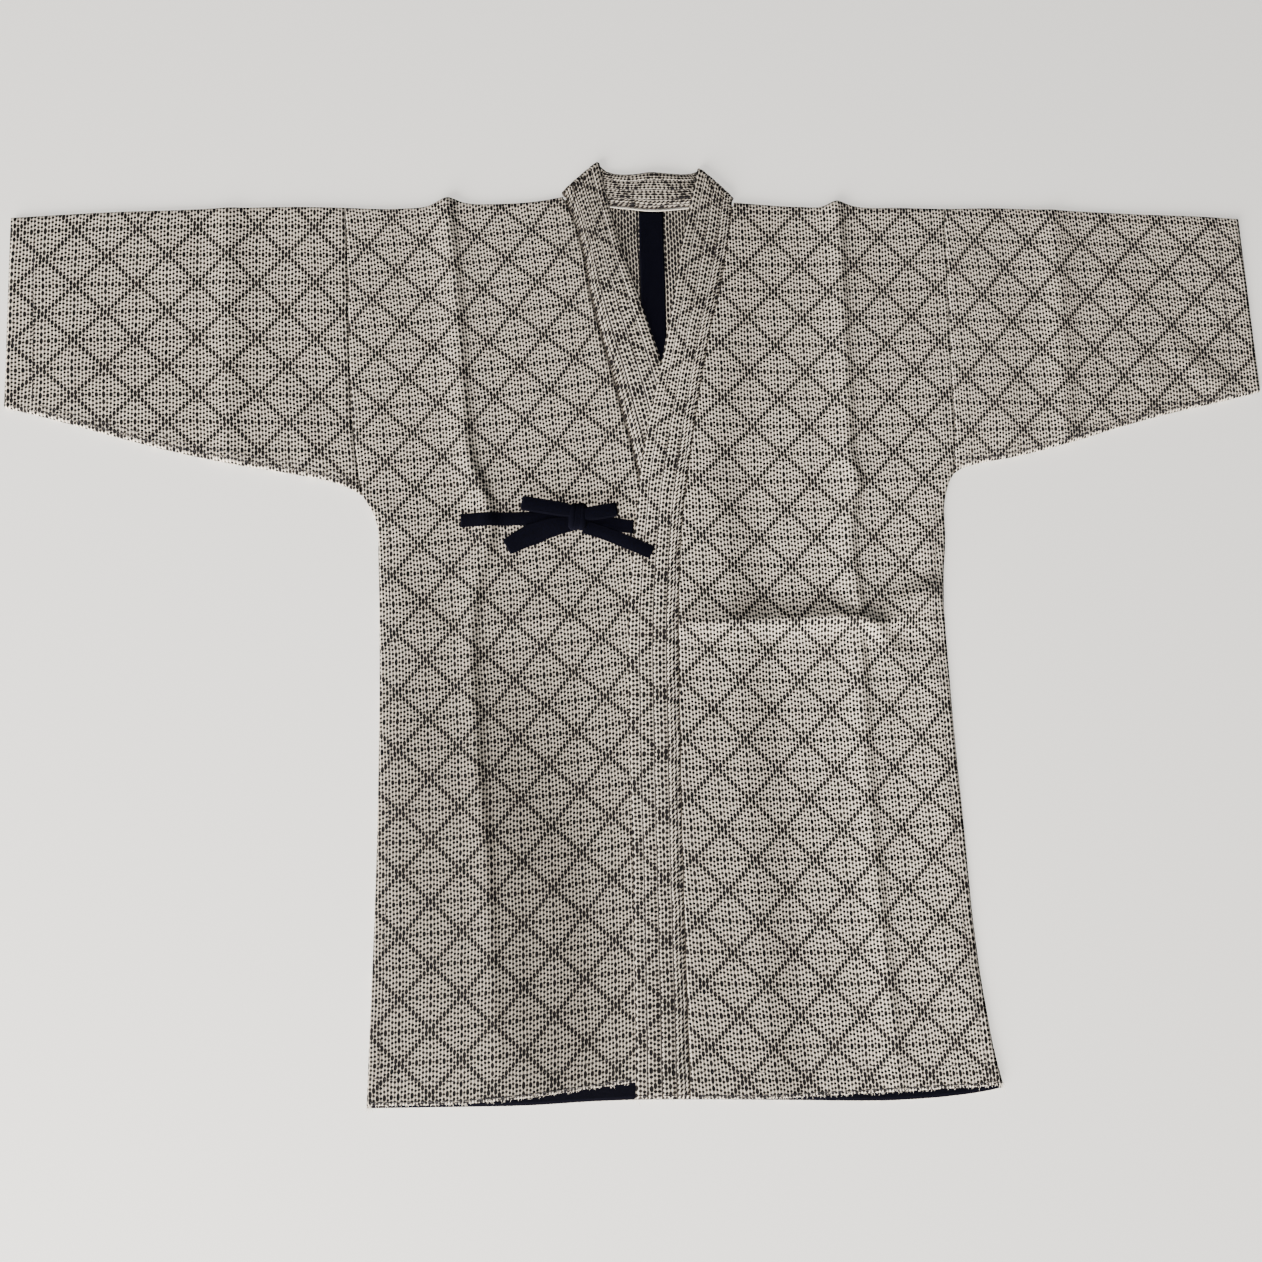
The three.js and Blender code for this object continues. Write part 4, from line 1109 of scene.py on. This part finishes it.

# %% [markdown]
# ## The sashiko weave
#
# The mark pattern repeats every eighteen columns and eighteen steps, and it is mirrored within that, so a
# quarter of it tells everything. In that quarter the marks lie on lines at even distances from the
# diagonal, closer or wider from column to column. A long dark mark stands on every diagonal and on every
# second column of the level lines, a shorter one on the columns through the crossings, and the rest are
# small. The material folds the thread count into that quarter and measures how far each point is from its
# nearest mark.
#
# The inside face shows the same threads from behind, as an even close check, with its marks drawn larger as
# painted shade of the recess inside the neck. In the collar the cloth is pressed together, so its marks are a
# little larger, and the stitched rows show as thin dark lines of thread with painted groove shade, with one
# more line of painted shade along the band's seam edge. Painted shade makes the cloth greyer low on the right
# front and behind the neck, and painted light makes it whiter on the left front. The weave could be modelled
# thread by thread, but a jacket has too many threads for that, so it is colour and relief.

# %% The marks of the weave
# Steps from one mark to the next, down each of the ten columns of the folded quarter.
SPACING = [2.0, 2.0, 4 / 3, 1.5, 4 / 3, 5 / 3, 4 / 3, 1.4, 4 / 3, 2.25]
MOST_SPACING = 3.0
QUARTER = 9.0
INSIDE_SPACING = 1.9
# Half widths and half lengths of the marks, in mm. They are drawn a little larger than they are woven, so
# that they still show at the size of the picture.
BIG = (1.76, 3.4)
SMALL = (1.42, 1.24)
# The inside face's marks are drawn larger still, as painted shade of the recess inside the neck.
INSIDE = (1.52, 2.7)
PRESSED = (1.5, 1.34)
# A mark fades from full to none between these shares of its size.
MARK_EDGE = (1.12, 0.84)
# Shares: of the first spacing that a diagonal's mark takes, of a long mark's extra size on the columns
# through the crossings, and of the spacing that half a mark may fill.
DIAGONAL_TAKES = 0.62
ON_COLUMN = 0.62
MOST_FILLED = 0.62


def swayed(node, uv):
    """The thread count, moved by up to half a thread over every dozen threads, as in washed cloth."""
    sway = node("TexNoise", {"Vector": uv, "Scale": 0.08, "Detail": 1.0}, noise_dimensions="2D")
    sway = node("VectorMath SUBTRACT", sway.outputs["Color"], (0.5, 0.5, 0.5))
    return node("VectorMath ADD", uv, node("VectorMath MULTIPLY", sway, (0.7, 1.1, 0.0)))


def spacing_on(node, line):
    """Looks up how far apart the marks of a line are."""
    chart = node("FloatCurve", {"Value": node("Math DIVIDE", line, QUARTER)})
    points = chart.mapping.curves[0].points
    for number, spacing in enumerate(SPACING):
        place = (number / QUARTER, spacing / MOST_SPACING)
        if number in (0, 9):
            points[0 if number == 0 else len(points) - 1].location = place
        else:
            points.new(*place)
    for point in points:
        point.handle_type = "VECTOR"
    chart.mapping.update()
    return node("Math MULTIPLY", chart, MOST_SPACING)


def diamond_mark(node, column, along):
    """The nearest mark of the diamonds: its line, spacing, number, how far off it is and how big."""
    k = node("Math PINGPONG", column, QUARTER)
    y = node("Math PINGPONG", along, QUARTER)
    inside = node("Math LESS_THAN", y, k)

    def folded(value):
        """The value inside the diagonal, and nine less the value outside it."""
        turned = node("Math MULTIPLY_ADD", value, 2.0, -QUARTER)
        return node("Math ADD", node("Math SUBTRACT", QUARTER, value), node("Math MULTIPLY", inside, turned))

    line, down = folded(k), folded(y)
    spacing = spacing_on(node, line)
    steps = node("Math DIVIDE", node("Math SUBTRACT", line, down), spacing)
    past_first = node("Math GREATER_THAN", steps, DIAGONAL_TAKES)
    number = node("Math MULTIPLY", node("Math ROUND", steps), past_first)
    off = node("Math MULTIPLY", node("Math SUBTRACT", steps, number), spacing)
    level = node("Math SUBTRACT", line, node("Math MULTIPLY", number, spacing))
    odd = node("Math COMPARE", node("Math MODULO", line, 2.0), 1.0, 0.5)
    second = node("Math MULTIPLY", odd, node("Math GREATER_THAN", line, 2.5))
    on_level = node("Math MULTIPLY", second, node("Math LESS_THAN", level, 0.2))
    on_column = node("Math MULTIPLY", node("Math GREATER_THAN", line, 8.5), ON_COLUMN)
    on_diagonal = node("Math LESS_THAN", number, 0.5)
    big = node("Math MAXIMUM", on_diagonal, node("Math MAXIMUM", on_column, on_level))
    return line, spacing, number, off, big


def inside_mark(node, column, along):
    """The nearest mark of the inside face: every second column is half a step higher."""
    shift = node("Math MULTIPLY", node("Math MODULO", node("Math ADD", column, 900.0), 2.0), 0.5)
    steps = node("Math ADD", node("Math DIVIDE", along, INSIDE_SPACING), shift)
    number = node("Math ROUND", steps)
    return number, node("Math MULTIPLY", node("Math SUBTRACT", steps, number), INSIDE_SPACING)


def mark_shape(node, aside, off, wide, tall):
    """1 inside an oval mark and 0 outside it, with a soft edge."""
    dx = node("Math DIVIDE", node("Math MULTIPLY", aside, COLUMN), wide)
    dy = node("Math DIVIDE", node("Math MULTIPLY", off, STEP), tall)
    away = node("Math SQRT", node("Math ADD", node("Math MULTIPLY", dx, dx), node("Math MULTIPLY", dy, dy)))
    return node("MapRange", away, *MARK_EDGE, interpolation_type="SMOOTHSTEP")


print("a long mark is", 2 * BIG[1], "mm long and a small one", 2 * SMALL[1], "mm")

# %% Material: sashiko cotton
# Painted shade and painted light on the cloth: the place and the reach in metres, and the change in
# brightness.
PAINTED_SHADE_AND_LIGHT = [
    ((-0.16, -0.26, 0.005), 0.48, -0.42),
    ((0.19, -0.13, 0.005), 0.5, 0.3),
    ((0.0, 0.41, 0.005), 0.13, -0.34),
]
DYED = light_of("0B0A0D")
# Dark lines along the collar's rows: the thread's colour with painted shade of its groove.
THREAD_AND_PAINTED_SHADE = light_of("2B2724")


def cloth_ground(node, uv, fibre, rib):
    """Colour between the marks: raised white threads with greyer ones between, and painted shade and painted
    light in places.
    """
    cloud = node("TexNoise", {"Vector": uv, "Scale": 0.035, "Detail": 3.0}, noise_dimensions="2D")
    white = node("Mix", cloud, light_of("D0C7BA"), light_of("DAD2C6"), data_type="RGBA")
    grey = node("Mix", fibre, light_of("857C71"), light_of("989084"), data_type="RGBA")
    place = node("TexCoord").outputs["Object"]
    # Painted shade and painted light: the cloth is made darker or brighter near each listed place.
    painted_shading = 1.0
    for at, reach, change in PAINTED_SHADE_AND_LIGHT:
        far = node("VectorMath DISTANCE", place, at)
        close = node("MapRange", far, reach, 0.03, interpolation_type="SMOOTHSTEP")
        painted_shading = node("Math MULTIPLY_ADD", close, change, painted_shading)
    return node("VectorMath SCALE", node("Mix", rib, grey, white, data_type="RGBA"), painted_shading)


def with_rows(node, colour, uv, rows):
    """The colour with a thin dark line along each row, a row given as its thread count: thread with painted
    groove shade.
    """
    column = node("SeparateXYZ", uv)
    nearest = 9.0
    for row in rows:
        nearest = node("Math MINIMUM", nearest, node("Math ABSOLUTE", node("Math SUBTRACT", column, row)))
    on_row = node("MapRange", nearest, 0.42, 0.2, interpolation_type="SMOOTHSTEP")
    return node("Mix", on_row, colour, THREAD_AND_PAINTED_SHADE, data_type="RGBA")


def sashiko(name, less=SMALL, inside_face=False, rows=()):
    """Sashiko cotton whose small marks have the size that is given."""
    material, node, shader = new_material(name)
    uv = node("UVMap", uv_map="threads")
    count = node("SeparateXYZ", swayed(node, uv))
    across, along = count.outputs[0], count.outputs[1]
    column = node("Math ROUND", across)
    aside = node("Math SUBTRACT", across, column)
    line, spacing, number, off, big = diamond_mark(node, column, along)
    if inside_face:
        number, off = inside_mark(node, column, along)

    # Each mark is a little larger or smaller than the next, by chance.
    quarter = node("Math FLOOR", node("Math DIVIDE", along, QUARTER))
    tag = node("Math ADD", node("Math MULTIPLY", number, 7.7), node("Math MULTIPLY", quarter, 13.1))
    dice = node("TexWhiteNoise", node("CombineXYZ", column, tag, line), noise_dimensions="3D")
    size = node("Math MULTIPLY_ADD", dice.outputs["Value"], 0.08, 0.96)
    wide, tall = (node("Math MULTIPLY", size, node("Math MULTIPLY_ADD", big, more - small, small))
                  for more, small in zip(BIG, less))
    tall = node("Math MINIMUM", tall, node("Math MULTIPLY", spacing, STEP * MOST_FILLED))
    mark = mark_shape(node, aside, off, wide, tall)

    rib = node("MapRange", node("Math ABSOLUTE", aside), 0.14, 0.4, interpolation_type="SMOOTHSTEP")
    stretched = node("VectorMath MULTIPLY", uv, (5.0, 1.6, 0.0))
    fibre = node("TexNoise", {"Vector": stretched, "Scale": 1.0, "Detail": 4.0}, noise_dimensions="2D")
    pale = node("Math MULTIPLY_ADD", node("SeparateColor", dice.outputs["Color"]).outputs[1], 0.05, 0.95)
    strength = node("Math MULTIPLY", mark, node("Math MAXIMUM", node("Math MULTIPLY", big, 0.985), pale))
    colour = node("Mix", strength, cloth_ground(node, uv, fibre, rib), DYED, data_type="RGBA")
    if rows:
        colour = with_rows(node, colour, uv, rows)

    relief = node("Math MULTIPLY_ADD", fibre, 0.25, node("Math MULTIPLY", rib, 0.5))
    relief = node("Math SUBTRACT", relief, node("Math MULTIPLY", mark, 0.45))
    bump = node("Bump", {"Strength": 0.75, "Distance": 0.0006, "Height": relief})
    plug(shader, {"Base Color": colour, "Normal": bump, "Roughness": 0.95, "Specular IOR Level": 0.06,
                  "Sheen Weight": 0.015, "Sheen Roughness": 0.6})
    return material


# The white cloth of body and sleeves: matt, a little fuzzy, ribbed by its raised threads.
SASHIKO = sashiko("sashiko cotton, dark marks on white")
# The same cloth seen from inside the jacket, darker because more of the dark thread lies on this side,
# and with its marks drawn larger as painted shade of the recess inside the neck.
SASHIKO_INSIDE = sashiko("sashiko cotton, inside face", INSIDE, inside_face=True)
# The same cloth folded into the collar, with its rows of stitching pulled in.
# The first line lies on the band's seam edge and is painted shade of the seam alone; the others are thread
# with painted groove shade.
row_and_seam_shade_lines = [row * COLLAR_WIDTH / COLUMN + COLLAR_FIRST_COLUMN for row in [0, *COLLAR_ROWS[1:]]]
SASHIKO_COLLAR = sashiko("sashiko cotton, stitched collar", PRESSED, rows=row_and_seam_shade_lines)
print("sashiko cotton has", len(SASHIKO.node_tree.nodes), "nodes")

# %% [markdown]
# ## Navy cotton, threads and the table
#
# The ties, tape and facing are a plain close cotton, dyed so deep a navy that it looks almost black. Its
# own fine weave, a thread each 0.6 to 0.7 mm, only shows as a slight grain. Thread is plain cotton too,
# dark for the sewing and white where it frays.

# %% Materials: navy cotton and threads
WARP_SPACING = 0.62
WEFT_SPACING = 0.7


def navy():
    material, node, shader = new_material("navy cotton, plain weave")
    uv = node("UVMap", uv_map="threads")
    count = node("SeparateXYZ", uv)
    warp = node("Math SINE", node("Math MULTIPLY", count.outputs[0], 2 * math.pi / WARP_SPACING))
    weft = node("Math SINE", node("Math MULTIPLY", count.outputs[1], 2 * math.pi / WEFT_SPACING))
    grain = node("TexNoise", {"Vector": uv, "Scale": 1.2, "Detail": 3.0}, noise_dimensions="2D")
    weave = node("Math MULTIPLY", warp, weft)
    shade = node("Math MULTIPLY_ADD", weave, 0.25, grain)
    shade = node("MapRange", shade, 0.2, 0.95, interpolation_type="SMOOTHSTEP")
    colour = node("Mix", shade, light_of("010105"), light_of("030414"), data_type="RGBA")
    bump = node("Bump", {"Strength": 0.5, "Distance": 0.0002, "Height": node("Math ADD", weave, grain)})
    plug(shader, {"Base Color": colour, "Normal": bump, "Roughness": 0.9, "Specular IOR Level": 0.06})
    return material


def plain(name, colour, roughness):
    """A material of one colour, with a grain of about a millimetre that is a tenth darker."""
    material, node, shader = new_material(name)
    grain = node("TexNoise", {"Vector": node("TexCoord").outputs["Object"], "Scale": 900.0, "Detail": 2.0})
    dark = [part * 0.9 for part in light_of(colour)[:3]] + [1.0]
    mixed = node("Mix", grain, dark, light_of(colour), data_type="RGBA")
    plug(shader, {"Base Color": mixed, "Roughness": roughness})
    return material


# Ties, tape and facing: matt and nearly black, with a blue that only shows in bright light.
NAVY = navy()
# The sewing thread: a dull near black.
DARK_THREAD = plain("cotton thread, dark", "1A181D", 0.8)
# The neck roll and the frayed ends: dull and off-white, as unbleached cotton is.
WHITE_THREAD = plain("cotton thread, white", "CFC8BC", 0.9)


BETWEEN_LAYERS = 0.0022


def dress(obj, material):
    obj.data.materials.clear()
    obj.data.materials.append(material)


def dress_inside(obj, material):
    """Gives a material to the faces that look into the jacket: down from above, or up from below."""
    obj.data.materials.append(material)
    for face in obj.data.polygons:
        upper = face.center.z > BETWEEN_LAYERS
        if (face.normal.z < -0.5) if upper else (face.normal.z > 0.5):
            face.material_index = 1


for made in [*bodies.values(), *sleeves.values()]:
    dress(made, SASHIKO)
    dress_inside(made, SASHIKO_INSIDE)
dress(band, SASHIKO_COLLAR)
for made in [*ties.values(), bow_knot, centre_tape, hem_facing]:
    dress(made, NAVY)
SEWING = [*body_sewing.values(), *sleeve_sewing.values(), collar_sewing, edge_sewing, over_sewing]
for made in SEWING:
    dress(made, DARK_THREAD)
for made in [neck_roll, frayed]:
    dress(made, WHITE_THREAD)
print("materials set")

# %% [markdown]
# ## What each piece stands for
#
# Every piece rides on the jacket's one body and takes the place of its solid. A table also lists the flat
# size each cloth piece was cut to, and what it lies on.

# %% Pieces and cuts
TAKES = {
    bodies["right"]: ("body_right", "sashiko_cotton"),
    bodies["left"]: ("body_left", "sashiko_cotton"),
    sleeves["right"]: ("sleeve_right", "sashiko_cotton"),
    sleeves["left"]: ("sleeve_left", "sashiko_cotton"),
    band: ("collar", "sashiko_cotton"),
    centre_tape: ("centre_back_tape", "navy_cotton"),
    hem_facing: ("back_hem_facing", "navy_cotton"),
    ties["strap_right"]: ("tie_strap_right", "navy_cotton"),
    ties["strap_left"]: ("tie_strap_left", "navy_cotton"),
    ties["tail_right"]: ("bow_tail_right", "navy_cotton"),
    ties["tail_left"]: ("bow_tail_left", "navy_cotton"),
    ties["loop_right"]: ("bow_loop_right", "navy_cotton"),
    ties["loop_left"]: ("bow_loop_left", "navy_cotton"),
    bow_knot: ("bow_knot", "navy_cotton"),
}
for made, (node, slot) in TAKES.items():
    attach(made, "root")
    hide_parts(node)
for made in [*SEWING, neck_roll, frayed]:
    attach(made, "root")

# Each cut: its flat width and length in metres, how it is held, what it lies on, and the pieces sewn to it.
BOTH = list(bodies.values())
CUTS = {
    bodies["right"]: ((0.302, 1.70), "laid", ["table"], [body_sewing["right"], frayed]),
    bodies["left"]: ((0.302, 1.70), "laid", ["table", bodies["right"]],
                     [body_sewing["left"], edge_sewing, over_sewing]),
    sleeves["right"]: ((0.325, 0.59), "laid", ["table"], [sleeve_sewing["right"]]),
    sleeves["left"]: ((0.325, 0.59), "laid", ["table"], [sleeve_sewing["left"]]),
    band: ((0.048, round(COLLAR_RUN[-1]) / 1000), "folded", BOTH, [collar_sewing, neck_roll]),
    centre_tape: ((0.0244, 0.183), "laid", BOTH, []),
    hem_facing: ((0.026, 0.565), "laid", BOTH, []),
    ties["strap_right"]: ((0.013, 0.104), "laid", [bodies["right"]], []),
    ties["strap_left"]: ((0.013, 0.047), "laid", [bodies["right"], band], []),
    ties["tail_right"]: ((0.018, 0.066), "laid", [bodies["right"], ties["strap_right"]], []),
    ties["tail_left"]: ((0.013, 0.071), "laid", [bodies["right"], band], []),
    ties["loop_right"]: ((0.013, 0.100), "folded", [ties["strap_right"]], []),
    ties["loop_left"]: ((0.013, 0.068), "folded", [ties["strap_left"]], []),
    bow_knot: ((0.013, 0.055), "folded", [ties["strap_right"], ties["strap_left"]], []),
}
for made, (flat, held, under, sewn) in CUTS.items():
    print(made.name, "was cut", round(flat[0] * 1000), "by", round(flat[1] * 1000), "mm")

# %% [markdown]
# ## The table, the light and the camera
#
# The jacket lies on a pale plain table. Soft light comes low from the wearer's lower right, which is what
# makes the crests bright on one side and dark on the other and leaves the soft shade above the shoulders.
# It is two lamps: a large one, and a lower one without shadow that stands for the light that comes back
# from the room and keeps the shadows soft. A faint one hangs over the table. The camera looks down from a
# little below the middle, at the angle of a person who stands at the hem.

# %% Table, light and camera
top = bmesh.new()
bmesh.ops.create_grid(top, x_segments=2, y_segments=2, size=3)
table = set_out("table", as_mesh("table", top))
# A smooth white laminate, a little glossy.
dress(table, plain("white laminate table", "F6F6F4", 0.55))

CAMERA_AT = (-0.139612, -0.204391, 1.161756)
CAMERA_RIGHT = (0.99575573, -0.04269495, 0.08153322)
CAMERA_UP = (0.02918715, 0.98665258, 0.16020234)
CAMERA_BACK = (-0.08728479, -0.15714267, 0.98371111)
camera = set_out("camera", bpy.data.cameras.new("camera"))
camera.data.lens = 36
camera.data.sensor_width = 36
turned = Matrix((CAMERA_RIGHT, CAMERA_UP, CAMERA_BACK)).transposed().to_4x4()
camera.matrix_world = Matrix.Translation(CAMERA_AT) @ turned
bpy.context.scene.camera = camera


def soft_light(name, at, size, power, colour, shadow=True):
    """A round lamp that points at the middle of the jacket."""
    lamp = bpy.data.lights.new(name, "AREA")
    lamp.shape = "DISK"
    lamp.size = size
    lamp.energy = power
    lamp.color = light_of(colour)[:3]
    lamp.use_shadow = shadow
    obj = set_out(name, lamp)
    obj.location = at
    obj.rotation_euler = (-Vector(at)).to_track_quat("-Z", "Y").to_euler()


soft_light("window", (-3.1, -4.5, 2.25), 4.2, 900, "FFF9F1")
soft_light("window, filled in", (-3.1, -4.5, 1.4), 2.4, 1500, "FFF9F1", shadow=False)
soft_light("ceiling", (0.5, 0.9, 2.6), 2.2, 14, "F4F8FF")
world = bpy.data.worlds.new("room")
world.use_nodes = True
world.node_tree.nodes["Background"].inputs[0].default_value = light_of("E9ECF0")
world.node_tree.nodes["Background"].inputs[1].default_value = 0.16
bpy.context.scene.world = world
print("table, light and camera set")
